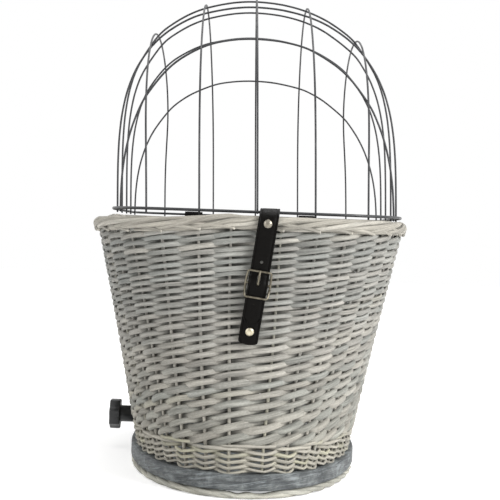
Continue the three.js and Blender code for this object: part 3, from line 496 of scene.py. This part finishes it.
slots = {p["node"]: p["material_slot"] for p in frame["record"]["subparts"]}
for name, node in frame["nodes"].items():
    node.data.materials.clear()
    aged = name in ("buckle_frame", "buckle_prong")
    node.data.materials.append(buckle_metal if aged else materials[slots[name]])
    weld = node.modifiers.new("weld", "WELD")
    weld.merge_threshold = 0.01 * mm
    node.data.polygons.foreach_set("use_smooth", np.ones(len(node.data.polygons), bool))
    if slots[name] == "black_wire":
        # finer facets draw the wire in by a share of its radius, and the displacement gives it back
        finer = node.modifiers.new("finer", "SUBSURF")
        finer.levels = finer.render_levels = 2
        back = node.modifiers.new("back", "DISPLACE")
        back.strength, back.mid_level = 0.1 * mm, 0
    else:
        edges = node.modifiers.new("edges", "BEVEL")
        edges.width = (0.7 if name == "star_knob" else 0.25) * mm
        edges.segments = 2
        edges.limit_method = "ANGLE"
        edges.angle_limit = math.radians(38)
        edges.harden_normals = True


# Stakes ----------------------------------------------------------------------------------------

# Where the stakes of the rounded end stand, in mm along the wall's top from its middle, towards +X
FRONT_STAKES = [-148, -116, -83, -48, -17, 28, 61, 90, 113, 140]
STAKES = 46


def stake_shares():
    length = high_loop.length
    front = [(0.5 + s / length) for s in FRONT_STAKES]
    rest = STAKES - len(front)
    gap = (1 - (front[-1] - front[0])) / (rest + 1)
    return np.array(front + [front[-1] + gap * (i + 1) for i in range(rest)])


shares = stake_shares()
share_steps = np.concatenate([shares, [shares[0] + 1]])


def share_of(w):
    """Share of the way round for a place counted in stakes."""
    turns = np.floor(w / STAKES)
    inside = w - turns * STAKES
    return np.interp(inside, np.arange(STAKES + 1), share_steps) + turns


# The wall is woven with one rod for each stake. Each rod climbs one row from stake to stake, before one
# and behind the next, thick at its foot and thin at its tip, so the rows grow finer towards the rim
PITCH_AT = [55, 76, 90, 117, 145, 160, 173, 203, 228, 240]
PITCH = [5.7, 5.35, 4.8, 4.15, 4.0, 3.55, 3.2, 2.95, 3.2, 3.3]


def row_heights(bottom, top):
    z, heights = bottom, [bottom]
    while z < top + 12:
        z += np.interp(z, PITCH_AT, PITCH)
        heights.append(z)
    return np.array(heights)


def soft_step(value, low, high):
    part = np.clip((value - low) / (high - low), 0, 1)
    return part * part * (3 - 2 * part)


UP = np.array([0.0, 0.0, 1.0])
MIDDLE = WALL_THICKNESS / 2
WALE_TOP = 55.0


def stakes():
    rods = Rods()
    z = np.linspace(WALL_BOTTOM + 0.4, WALL_TOP_Z + 4, 44)
    for i, share in enumerate(shares):
        local = np.random.default_rng(500 + i)
        lean = local.normal(0, 0.0004)
        bend = 0.0005 * np.sin(z / 40 + local.uniform(0, 6))
        points, out = on_wall(share + lean * (z / 120 - 1) + bend, z, MIDDLE)
        side = np.cross(out, UP)
        radius = np.interp(z, [20, 60, 245], [1.8, 1.65, 1.4]) * local.uniform(0.85, 1.15)
        rods.tube(points, out, side, radius, radius, 8, tint=local.uniform(0.3, 0.9), tone_and_painted_shade=1.0,
                  offset=local.uniform(0, 9))
    rods.build("willow_stakes", willow_wall, "basket")


def weave():
    rods = Rods()
    per = 8
    heights = row_heights(WALE_TOP, WALL_TOP_Z)
    rows = np.interp(WALL_TOP_Z + 2, heights, np.arange(len(heights)))
    knots = np.random.default_rng(3).normal(0, 0.5, (STAKES, len(heights) + 2))

    def knot(i, first):
        return knots[(first + i) % STAKES, np.clip(i, 0, len(heights)) % knots.shape[1]]

    for k in range(STAKES):
        local = np.random.default_rng(k + 11)
        step = np.arange(-1, rows, 1 / per)
        w = k + step
        share = share_of(w)
        before = np.cos(math.pi * step)
        # the climb is steep where the rod lies before a stake
        row = step + 0.14 * np.sin(math.pi * step)
        z = np.interp(row, np.arange(len(heights)), heights, left=heights[0] + row[0] * PITCH[0])
        z = np.where(row < 0, heights[0] + row * PITCH[0], z)
        base = np.floor(step).astype(int)
        part = step - base
        z = z + knot(base + 1, k) * (1 - part) + knot(base + 2, k) * part
        pitch = np.interp(z, PITCH_AT, PITCH)
        thick = local.uniform(0.87, 1.12) * (1 + 0.05 * np.sin(step * 0.7 + local.uniform(0, 6)))
        thick *= 1 + 0.06 * np.sin(step * 3.1 + local.uniform(0, 6))
        wave = 1 - 2 * ((1 - before) / 2) ** 1.5
        full = np.interp(z, [100, 170, 230], [0.71, 0.74, 0.76])
        # a rod is widest where it comes out from behind a stake, which leaves a short gap beside the stake
        fill = 0.13 * np.sin(math.pi * np.clip(before + 1, 0, 1))
        rb = pitch * thick * (full + fill - 0.04 * before ** 4)
        ra = np.clip(0.5 * pitch * thick, 1.45, 2.5)
        depth = MIDDLE - (MIDDLE - ra) * wave
        points, out = on_wall(share, z, depth)
        tint = 0.15 + 0.6 * local.uniform(0, 1) + 0.15 * np.sin(step * 0.21 + local.uniform(0, 6))
        # the tone paints shade on each rod where it lies behind a stake; the rows lie closer near the rim,
        # so less of this painted shade falls between them there
        least = np.interp(z, [90, 150, 200], [0.0, 0.2, 0.3])
        front = np.interp(z, [90, 150, 200], [0.8, 0.77, 0.73])
        edge = np.interp(z, [90, 150, 200], [-0.2, -0.4, -0.55])
        tone_and_painted_shade = least + (front - least) * soft_step(wave, -1.0, edge) + local.uniform(-0.1, 0.1)
        rods.tube(points, out, np.broadcast_to(UP, out.shape), ra, rb, 8, False,
                  np.clip(tint, 0, 1), tone_and_painted_shade, local.uniform(0, 9))
    rods.build("willow_weave", willow_wall, "basket", ["wicker_wall"])


def wale():
    """The foot of the wall: thin rods packed down, so each dips in a V before its stakes. Under the first
    climbing rods lie two rounds whose rods pass before two stakes and behind the third."""
    rods = Rods()
    plain, long = 8, 2
    rise = np.concatenate([np.linspace(2.3, 2.9, plain), np.full(long, 2.7)])
    rise *= (WALE_TOP - WALL_BOTTOM - 5.2) / rise.sum()
    middles = WALL_BOTTOM + 0.8 + np.cumsum(rise) - rise / 2
    per = 10
    w = np.arange(STAKES * per) / per
    share = share_of(w)
    stake = np.arange(STAKES + 1)
    for row, (middle, pitch) in enumerate(zip(middles, rise)):
        local = np.random.default_rng(90 + row)
        if row < plain:
            state = np.where((stake + row) % 2 == 0, 1.0, -1.0)
            dip = 2.7 - 0.1 * row
        else:
            state = np.where((stake + 2 * row) % 3 == 0, -1.0, 1.0)
            dip = 0.5
        low = np.floor(w).astype(int)
        part = w - low
        ease = 0.5 - 0.5 * np.cos(math.pi * part)
        before = state[low] * (1 - ease) + state[low + 1] * ease
        wave = np.sign(before) * np.abs(before) ** 0.75
        sharp = 1 - 2 * np.abs(part - np.round(part))
        drop = -dip * sharp * soft_step(before, 0.0, 0.6)
        swell = np.interp(w, stake, closed_noise(STAKES, 0.09, 300 + row))
        rb = pitch * (0.69 + swell) * (1 - 0.2 * sharp ** 2)
        ra = np.full(len(w), 1.6)
        depth = MIDDLE - (MIDDLE - ra - 0.2) * wave
        points, out = on_wall(share, middle + drop, depth)
        # painted shade: the tone darkens a rod where it passes behind the stakes
        tone_and_painted_shade = 0.05 + 0.85 * soft_step(wave, -0.95, -0.4)
        tint = np.interp(w, stake[:-1], 0.74 + noise_row(STAKES, 0.2, 50 + row))
        rods.tube(points, out, np.broadcast_to(UP, out.shape), ra, rb, 8, True,
                  np.clip(tint, 0, 1), tone_and_painted_shade, local.uniform(0, 9))
    rods.build("willow_wale", willow_wall, "basket")


# Rim and foot borders -----------------------------------------------------------------------------

def border_frame(loop, z, count):
    share = np.arange(count) / count
    p, n = loop.at(share)
    points = np.column_stack([p, np.full(count, float(z))])
    return share, points, np.column_stack([n, np.zeros(count)])


# How far the rim of the rounded end hangs from its level, in mm, for places from the left to the middle
SAG_AT = [-150, -90, -60, -45, -18, -6]
SAG = [-5.0, -4.4, -2.6, -1.0, 1.2, 0.0]


def sag(points):
    near = soft_step(-points[:, 1], -120, 60)
    return np.interp(points[:, 0], SAG_AT, SAG) * near


def rim_border():
    rods = Rods()
    loop = Loop(RIM)
    count = 560
    strands, turns, radius = 8, 7, 2.3
    share, points, out = border_frame(loop, RIM_Z, count)
    points[:, 2] += sag(points)
    up = np.broadcast_to(UP, out.shape)
    core = RIM_RADIUS - 2.4
    # painted shade: a dark core, with low tint and tone, shows as shade in the gaps between the strands
    rods.tube(points, out, up, core, core, 10, True, 0.1, 0.15)
    for k in range(strands):
        local = np.random.default_rng(700 + k)
        swell = np.interp(share, np.linspace(0, 1, 41), closed_noise(40, 0.2, 40 + k))
        turn = TAU * (k / strands + turns * share) + 0.25 * np.sin(TAU * (share * 11 + local.uniform(0, 1)))
        strand = radius * (1 + 0.7 * swell)
        reach = RIM_RADIUS - strand + swell
        offset = out * (reach * np.cos(turn))[:, None] + up * (reach * np.sin(turn))[:, None]
        centre = points + offset
        wide = offset / np.linalg.norm(offset, axis=1)[:, None]
        tangent = np.roll(centre, -1, axis=0) - np.roll(centre, 1, axis=0)
        tangent /= np.linalg.norm(tangent, axis=1)[:, None]
        high = np.cross(tangent, wide)
        rods.tube(centre, wide, high, strand, strand * 0.98, 10, True, local.uniform(0, 1),
                  0.86 + local.uniform(-0.12, 0.1), local.uniform(0, 9))
    rim_tails(rods)
    rods.build("willow_rim", willow_rim, "basket", ["rim_border"])


# A tail's cut face lies just past its end, and the tail turns pale near it, as shares of its length
CUT_FACE, PALE_FROM = 1.012, 0.97


def rim_tails(rods):
    """At each stake a rod of the border runs down behind the roll and ends in a pale cut face."""
    loop = Loop(RIM)
    for i, start in enumerate(shares):
        local = np.random.default_rng(1200 + i)
        along = np.append(np.linspace(0, 1, 26), CUT_FACE)
        length = local.uniform(36, 52)
        share = start + 0.002 + (along - 1) * length / loop.length
        p, n = loop.at(share)
        turn = np.interp(along, [0, 0.5, 0.85, 1], [-0.1, -0.5, -0.9, -1.05])
        reach = RIM_RADIUS - 2.0 + np.interp(along, [0, 0.4, 0.8, 1], [-2.2, -0.4, 0.6, 2.0])
        height = RIM_Z + sag(p) + reach * np.sin(turn)
        centre = np.column_stack([p + n * (reach * np.cos(turn))[:, None], height])
        out = np.column_stack([n * np.cos(turn)[:, None], np.sin(turn)])
        tangent = np.gradient(centre, axis=0)
        tangent /= np.linalg.norm(tangent, axis=1)[:, None]
        high = np.cross(tangent, out)
        size = np.interp(along, [0, 0.3, 0.95, 1, CUT_FACE], [0.8, 2.0, 2.0, 1.9, 0.05])
        size *= local.uniform(0.9, 1.1)
        tone_and_painted_shade = np.where(along > PALE_FROM, 1.3, 0.8 + local.uniform(-0.1, 0.08))
        tint = np.where(along > PALE_FROM, 1.0, local.uniform(0.1, 0.8))
        rods.tube(centre, out, high, size, size, 9, False, tint, tone_and_painted_shade, local.uniform(0, 9))


def foot_border():
    rods = Rods()
    loop = Loop(FOOT)
    count = 620
    height = foot_high.z / mm
    strands = 3
    turns = round(loop.length / 88)
    share, points, out = border_frame(loop, height / 2, count)
    up = np.broadcast_to(UP, out.shape)
    ra, rb = 3.4, 2.5
    # near the middle of the rounded end the border hangs a little clear of the board
    x = points[:, 0]
    near = points[:, 1] < 0
    slit = near * (np.exp(-((x + 3) / 6) ** 2) + np.exp(-((x - 19) / 11) ** 2))
    for k in range(strands):
        local = np.random.default_rng(900 + k)
        turn = TAU * (k / strands - turns * share)
        offset = out * ((FOOT_WIDTH / 2 - ra) * np.cos(turn))[:, None]
        lift = (height / 2 - rb) * np.sin(turn) - 2.3 * slit * (1 + np.sin(turn)) / 2
        offset = offset + up * lift[:, None]
        centre = points + offset
        # painted shade: the tone is lighter where a strand turns outwards and darker where it turns in
        rods.tube(centre, out, up, ra, rb * (1 - 0.16 * slit), 10, True, 0.5 + local.uniform(-0.4, 0.4),
                  0.78 + 0.14 * np.cos(turn), local.uniform(0, 9))
    rods.build("willow_foot", willow_foot, "basket", ["foot_border"])


stakes()
weave()
wale()
rim_border()
foot_border()


# Straps -------------------------------------------------------------------------------------------

BUCKLE_UP, BUCKLE_HALF, BUCKLE_BAR = 57, 11.8, 1
STRAP_END_Z, STRAP_END_X, STRAP_SLANT = 144.5, 1.4, 0.133
STRAP_TAIL_ANGLE, BILLET_TIP, HOLE_PITCH = -45, 20.5, 16
PRONG, PRONG_SLOT = 1, (1.6, 8)
HINGE_X, HINGE_END_Z = 71.5, 214
LAYER = LEATHER + CLEARANCE
DOUBLED = LEATHER + LAYER
BAR_W = DOUBLED / 2
FOLD = BUCKLE_BAR + CLEARANCE + LEATHER / 2
WRAP_INNER = RIM_RADIUS + CLEARANCE + CURVE_ALLOWANCE + LEATHER / 2
WRAP_OUTER = WRAP_INNER + LAYER
FOLD_RING = RING_WIRE + CLEARANCE + CURVE_ALLOWANCE + LEATHER / 2


def wall_reach(side, x, z):
    h = (z - WALL_BOTTOM) / (WALL_TOP_Z - WALL_BOTTOM)
    p = low_loop.points * (1 - h) + high_loop.points * h
    ok = p[:, 1] * side > 0
    p = p[ok]
    order = np.argsort(p[:, 0])
    return side * (np.interp(x, p[order, 0], p[order, 1]) - SHIFT_Y)


class Strap:
    """The plane of a strap between the wall and the border: u across, v up along it, w outwards."""

    def __init__(self, side, end_x, end_z, slant, wrap, layer, width=STRAP_WIDTH):
        self.side, self.slant = side, slant
        self.rim = RIM["near"] if side < 0 else RIM["far"]
        reach = max(wall_reach(side, end_x + s * width, end_z) for s in (-0.5, 0, 0.5))
        foot = reach + CLEARANCE + CURVE_ALLOWANCE
        run = (foot - self.rim, end_z - RIM_Z)
        self.lean = -math.acos((wrap - layer) / math.hypot(*run)) - math.atan2(run[1], run[0])
        self.v = Vector((slant, side * math.sin(self.lean), math.cos(self.lean))).normalized()
        self.u = (Vector((-side, 0, 0)) + self.v * (side * self.v.x)).normalized()
        self.w = self.u.cross(self.v)
        self.origin = Vector((end_x, side * foot + SHIFT_Y, end_z))

    def place(self, a, b, c):
        return self.origin + self.u * a + self.v * b + self.w * c

    def wrap(self, reach, z, radius, angle):
        height = z + radius * math.sin(angle)
        x = self.origin.x + self.slant * (height - self.origin.z)
        return Vector((x, self.side * (reach + radius * math.cos(angle)) + SHIFT_Y, height))

    def arc(self, reach, z, radius, start, end, steps):
        return [self.wrap(reach, z, radius, start + (end - start) * i / steps) for i in range(steps + 1)]

    def fold(self, ring_reach, tail):
        apart = (ring_reach - self.rim, RING_Z - RIM_Z)
        distance, bearing = math.hypot(*apart), math.atan2(apart[1], apart[0])
        leave = bearing - math.acos((WRAP_INNER + FOLD_RING) / distance)
        meet = bearing - math.acos((WRAP_OUTER - FOLD_RING) / distance)
        return (self.arc(self.rim, RIM_Z, WRAP_INNER, tail, leave, 10)
                + self.arc(ring_reach, RING_Z, FOLD_RING, leave - math.pi, meet - TAU, 14)
                + self.arc(self.rim, RIM_Z, WRAP_OUTER, meet, -self.lean, 10))


closure = Strap(-1, STRAP_END_X, STRAP_END_Z, STRAP_SLANT, WRAP_OUTER, LEATHER / 2)


def dense(points, spacing=1.0):
    """A smooth line through points, at even steps."""
    p = np.array([list(q) for q in points])
    ext = np.vstack([2 * p[0] - p[1], p, 2 * p[-1] - p[-2]])
    out = []
    for i in range(1, len(ext) - 2):
        a, b, c, d = ext[i - 1:i + 3]
        steps = max(1, int(np.linalg.norm(c - b) / spacing))
        for t in np.arange(steps) / steps:
            out.append(0.5 * (2 * b + (c - a) * t + (2 * a - 5 * b + 4 * c - d) * t ** 2
                              + (3 * b - a - 3 * c + d) * t ** 3))
    out.append(p[-1])
    return np.array(out)


def band_section(width, thickness):
    """A strap's section: rounded edges and a pressed line along each edge, on both faces."""
    w, t = width / 2, thickness / 2
    e = 0.55
    face = [(-w + e, t), (-w + 1.5, t), (-w + 2.0, t - 0.42), (-w + 2.5, t), (-w * 0.4, t + 0.03),
            (w * 0.4, t + 0.03), (w - 2.5, t), (w - 2.0, t - 0.42), (w - 1.5, t), (w - e, t)]
    right = [(w - 0.12, t * 0.55), (w, 0), (w - 0.12, -t * 0.55)]
    under = [(x, -y) for x, y in reversed(face)]
    left = [(-w + 0.12, -t * 0.55), (-w, 0), (-w + 0.12, t * 0.55)]
    return np.array(face + right + under + left)


def band(name, path, across, width=STRAP_WIDTH, round_start=0.0, round_end=0.0):
    """Sweeps the strap's section. The strap's ends may be rounded over a length."""
    section = band_section(width, LEATHER)
    n = len(path)
    tangent = np.gradient(path, axis=0)
    tangent /= np.linalg.norm(tangent, axis=1)[:, None]
    u = across - tangent * np.sum(across * tangent, axis=1)[:, None]
    u /= np.linalg.norm(u, axis=1)[:, None]
    v = np.cross(tangent, u)
    step = np.linalg.norm(np.diff(path, axis=0), axis=1)
    along = np.concatenate([[0], np.cumsum(step)])
    scale = np.ones(n)
    for length, distance in ((round_start, along), (round_end, along[-1] - along)):
        if length > 0:
            inside = np.clip(1 - distance / length, 0, 1)
            scale = np.minimum(scale, np.sqrt(np.maximum(1 - inside ** 2, 0.02)))
    ring = (path[:, None, :] + u[:, None, :] * (section[None, :, 0] * scale[:, None])[..., None]
            + v[:, None, :] * section[None, :, 1][..., None])
    size = len(section)
    verts = (ring.reshape(-1, 3) * mm).tolist()
    faces = []
    for i in range(n - 1):
        for j in range(size):
            k = (j + 1) % size
            faces.append((i * size + j, i * size + k, (i + 1) * size + k, (i + 1) * size + j))
    faces.append(tuple(range(size))[::-1])
    faces.append(tuple((n - 1) * size + j for j in range(size)))
    mesh = bpy.data.meshes.new(name)
    mesh.from_pydata(verts, [], faces)
    mesh.update()
    return mesh


def cutter(centre, direction, radius, half, sides=24, stretch=None):
    """A round rod for cutting a hole, or a slot when it is stretched along a direction."""
    direction = direction.normalized()
    side = direction.orthogonal().normalized() if stretch is None else stretch[0].normalized()
    other = direction.cross(side)
    verts, faces = [], []
    for end in (-half, half):
        for i in range(sides):
            turn = TAU * i / sides
            push = 0.0 if stretch is None else stretch[1] * (1 if math.cos(turn) > 0 else -1)
            verts.append(tuple((centre + direction * end + side * (radius * math.cos(turn) + push)
                                + other * (radius * math.sin(turn))) * mm))
    for i in range(sides):
        j = (i + 1) % sides
        faces.append((i, j, sides + j, sides + i))
    faces.append(tuple(range(sides))[::-1])
    faces.append(tuple(sides + i for i in range(sides)))
    mesh = bpy.data.meshes.new("cutter")
    mesh.from_pydata(verts, [], faces)
    return mesh


def fixed_normals(mesh):
    work = bmesh.new()
    work.from_mesh(mesh)
    bmesh.ops.recalc_face_normals(work, faces=work.faces)
    work.to_mesh(mesh)
    work.free()
    return mesh


def pierce(mesh, cutters):
    """The mesh with the cutters taken out of it."""
    target = bpy.data.objects.new("pierced", fixed_normals(mesh))
    bpy.context.scene.collection.objects.link(target)
    tools = []
    for tool in cutters:
        obj = bpy.data.objects.new("tool", fixed_normals(tool))
        bpy.context.scene.collection.objects.link(obj)
        tools.append(obj)
        modifier = target.modifiers.new("cut", "BOOLEAN")
        modifier.operation = "DIFFERENCE"
        modifier.solver = "EXACT"
        modifier.object = obj
    bpy.context.view_layer.update()
    result = bpy.data.meshes.new_from_object(target.evaluated_get(bpy.context.evaluated_depsgraph_get()))
    for obj in [target, *tools]:
        bpy.data.objects.remove(obj)
    return result


def smooth(mesh, angle=40):
    mesh.polygons.foreach_set("use_smooth", np.ones(len(mesh.polygons), bool))
    mesh.set_sharp_from_angle(angle=math.radians(angle))
    return mesh


def closing_strap():
    under_top, under_bottom = LEATHER / 2, DOUBLED + CLEARANCE + LEATHER / 2
    root = BAR_W + BUCKLE_BAR + CLEARANCE + PRONG
    over_bar = max(BAR_W + FOLD + LAYER, root + PRONG + CLEARANCE + LEATHER / 2)
    fold = closure.fold(RING_NEAR, math.radians(STRAP_TAIL_ANGLE))
    straight = fold[-1] - closure.origin
    start, side = straight.dot(closure.v), straight.dot(closure.u)
    over = BUCKLE_UP + BUCKLE_HALF + 5
    stations = [(side * s, over + (start - over) * s, under_top) for s in (0.7, 0.35)]
    for i in range(13):
        share = i / 12
        v = BUCKLE_HALF * (1 - 2 * share)
        rest = under_top if share < 0.5 else under_bottom
        rise = (over_bar - rest) * (0.5 + 0.5 * math.cos(math.pi * min(1, abs(v) / 9.5)))
        stations.append((0, BUCKLE_UP + v, rest + rise))
    stations.append((0, (BUCKLE_UP - BUCKLE_HALF + BILLET_TIP) / 2, under_bottom))
    stations.append((0, BILLET_TIP, under_bottom))
    points = fold + [closure.place(*s) for s in stations]
    path = dense(points, 0.9)
    share = np.clip((path[:, 2] - (RIM_Z - RIM_RADIUS - 12)) / 12, 0, 1)[:, None]
    across = np.array([1.0, 0, 0]) * share + np.array(closure.u) * (1 - share)
    mesh = band("closing_strap", path, across, round_end=7)
    spare = closure.place(0, BUCKLE_UP + 4.1 + HOLE_PITCH, under_top)
    used = closure.place(0, BUCKLE_UP + 3.4, over_bar - 2)
    cuts = [cutter(spare, closure.w, 1.5, 3), cutter(used, closure.w, *PRONG_SLOT, 24, (closure.v, 3.2))]
    mesh = smooth(pierce(mesh, cuts))
    place("leather_closing_strap", mesh, materials["black_leather"], "strap",
          ["closing_strap"])


def lower_strap():
    neck = BUCKLE_UP - 7
    inner, outer = LEATHER / 2, LEATHER / 2 + LAYER
    points = [(0, 0, inner), (0, BUCKLE_UP / 2, inner), (0, neck, inner)]
    for i in range(11):
        turn = -math.pi / 2 - 0.25 + (math.pi + 0.5) * i / 10
        points.append((0, BUCKLE_UP + FOLD * math.cos(turn), BAR_W + FOLD * math.sin(turn)))
    points += [(0, neck, outer), (0, BUCKLE_UP / 2, outer), (0, 0, outer)]
    path = dense([closure.place(*p) for p in points], 0.9)
    across = np.tile(np.array(closure.u), (len(path), 1))
    mesh = band("lower_strap", path, across, round_start=3, round_end=3)
    slot_cut = cutter(closure.place(0, BUCKLE_UP, BAR_W), closure.w, 1.6, 9, 24, (closure.v, 3.2))
    mesh = smooth(pierce(mesh, [slot_cut]))
    place("leather_lower_strap", mesh, materials["black_leather"], "basket", ["lower_strap"])


def hinge_loops():
    for name, sign in (("left", -1), ("right", 1)):
        strap = Strap(1, sign * HINGE_X, HINGE_END_Z, 0, WRAP_INNER, LEATHER / 2, HINGE_WIDTH)
        outer = LEATHER / 2 + LAYER
        points = [strap.place(0, up, LEATHER / 2) for up in (0, 12)]
        points += strap.fold(RING_FAR, -strap.lean)
        points += [strap.place(0, up, outer) for up in (12, 0)]
        path = dense(points, 1.0)
        across = np.tile([1.0, 0, 0], (len(path), 1))
        mesh = band(f"hinge_{name}", path, across, HINGE_WIDTH, round_start=3, round_end=3)
        mesh = smooth(fixed_normals(mesh))
        place(f"leather_hinge_{name}", mesh, materials["black_leather"], "basket",
              [f"hinge_{name}_loop"])


closing_strap()
lower_strap()
hinge_loops()


# Floor, light and camera ---------------------------------------------------------------------------

def seen_rays(tree):
    """1 for rays of the camera and for those that metal or glass sends on, or else 0."""
    path = tree.nodes.new("ShaderNodeLightPath")
    seen = path.outputs["Is Camera Ray"]
    for kind in ("Is Glossy Ray", "Is Transmission Ray"):
        either = tree.nodes.new("ShaderNodeMath")
        either.operation = "MAXIMUM"
        tree.links.new(seen, either.inputs[0])
        tree.links.new(path.outputs[kind], either.inputs[1])
        seen = either.outputs[0]
    return seen


# Half the floor's side in metres, what the camera sees added to the floor's light, and the soft light
FLOOR_HALF, FLOOR_GLOW, SKY_LIGHT = 6.0, 0.5, 0.62


def floor():
    mesh = bpy.data.meshes.new("floor")
    s = FLOOR_HALF
    mesh.from_pydata([(-s, -s, 0), (s, -s, 0), (s, s, 0), (-s, s, 0)], [], [(0, 1, 2, 3)])
    m = Nodes("floor")
    grain = m.noise(m.coords((30, 30, 30)), 1.0, 3, 0.5)
    color = m.mix(grain, (0.93, 0.93, 0.93), (0.95, 0.95, 0.95))
    mesh.materials.append(m.finish(color, 0.9, specular=0.1))
    # the camera sees the floor lighter than the light on it makes it, so it is white beyond the shadow
    glow = m.node("Emission")
    glow.inputs["Color"].default_value = (1, 1, 1, 1)
    seen = m.math("MULTIPLY", seen_rays(m.tree), FLOOR_GLOW)
    m.link(seen, glow.inputs["Strength"])
    both = m.node("AddShader")
    m.link(m.bsdf.outputs[0], both.inputs[0])
    m.link(glow.outputs[0], both.inputs[1])
    m.link(both.outputs[0], m.output.inputs[0])
    obj = bpy.data.objects.new("floor", mesh)
    bpy.context.scene.collection.objects.link(obj)


def world():
    w = bpy.data.worlds.new("studio")
    bpy.context.scene.world = w
    w.use_nodes = True
    tree = w.node_tree
    tree.nodes.clear()
    out = tree.nodes.new("ShaderNodeOutputWorld")
    light = tree.nodes.new("ShaderNodeBackground")
    light.inputs[0].default_value = (1, 1, 1, 1)
    light.inputs[1].default_value = SKY_LIGHT
    seen = tree.nodes.new("ShaderNodeBackground")
    seen.inputs[0].default_value = (1, 1, 1, 1)
    seen.inputs[1].default_value = 1.0
    mix = tree.nodes.new("ShaderNodeMixShader")
    tree.links.new(seen_rays(tree), mix.inputs[0])
    tree.links.new(light.outputs[0], mix.inputs[1])
    tree.links.new(seen.outputs[0], mix.inputs[2])
    tree.links.new(mix.outputs[0], out.inputs[0])


def area(name, place_at, target, size, power):
    data = bpy.data.lights.new(name, "AREA")
    data.shape = "DISK"
    data.size = size
    data.energy = power
    obj = bpy.data.objects.new(name, data)
    bpy.context.scene.collection.objects.link(obj)
    obj.location = place_at
    obj.rotation_euler = (Vector(target) - Vector(place_at)).to_track_quat("-Z", "Y").to_euler()


# The photograph's view: the lens in mm, the picture's shift, the roll in degrees and the place in metres
LENS, SHIFT_UP, CAMERA_ROLL, CAMERA_PLACE = 109.0, -0.042, 2.1, (0, -1.63906, 0.249)


def camera():
    data = bpy.data.cameras.new("camera")
    data.sensor_width = 36
    data.lens = LENS
    data.shift_y = SHIFT_UP
    data.clip_start, data.clip_end = 0.05, 50
    obj = bpy.data.objects.new("camera", data)
    bpy.context.scene.collection.objects.link(obj)
    level = Matrix.Rotation(math.pi / 2, 4, "X")
    roll = Matrix.Rotation(math.radians(CAMERA_ROLL), 4, "Z")
    obj.matrix_world = Matrix.Translation(CAMERA_PLACE) @ level @ roll
    bpy.context.scene.camera = obj


floor()
world()
area("key", (1.7, -1.5, 1.1), (0, 0, 0.2), 1.5, 54)
area("fill", (-1.6, -1.4, 0.9), (0, 0, 0.2), 1.5, 9)
area("top", (0.2, 0.3, 2.2), (0, 0, 0.2), 1.8, 14)
camera()
bpy.context.scene.view_settings.view_transform = "Standard"
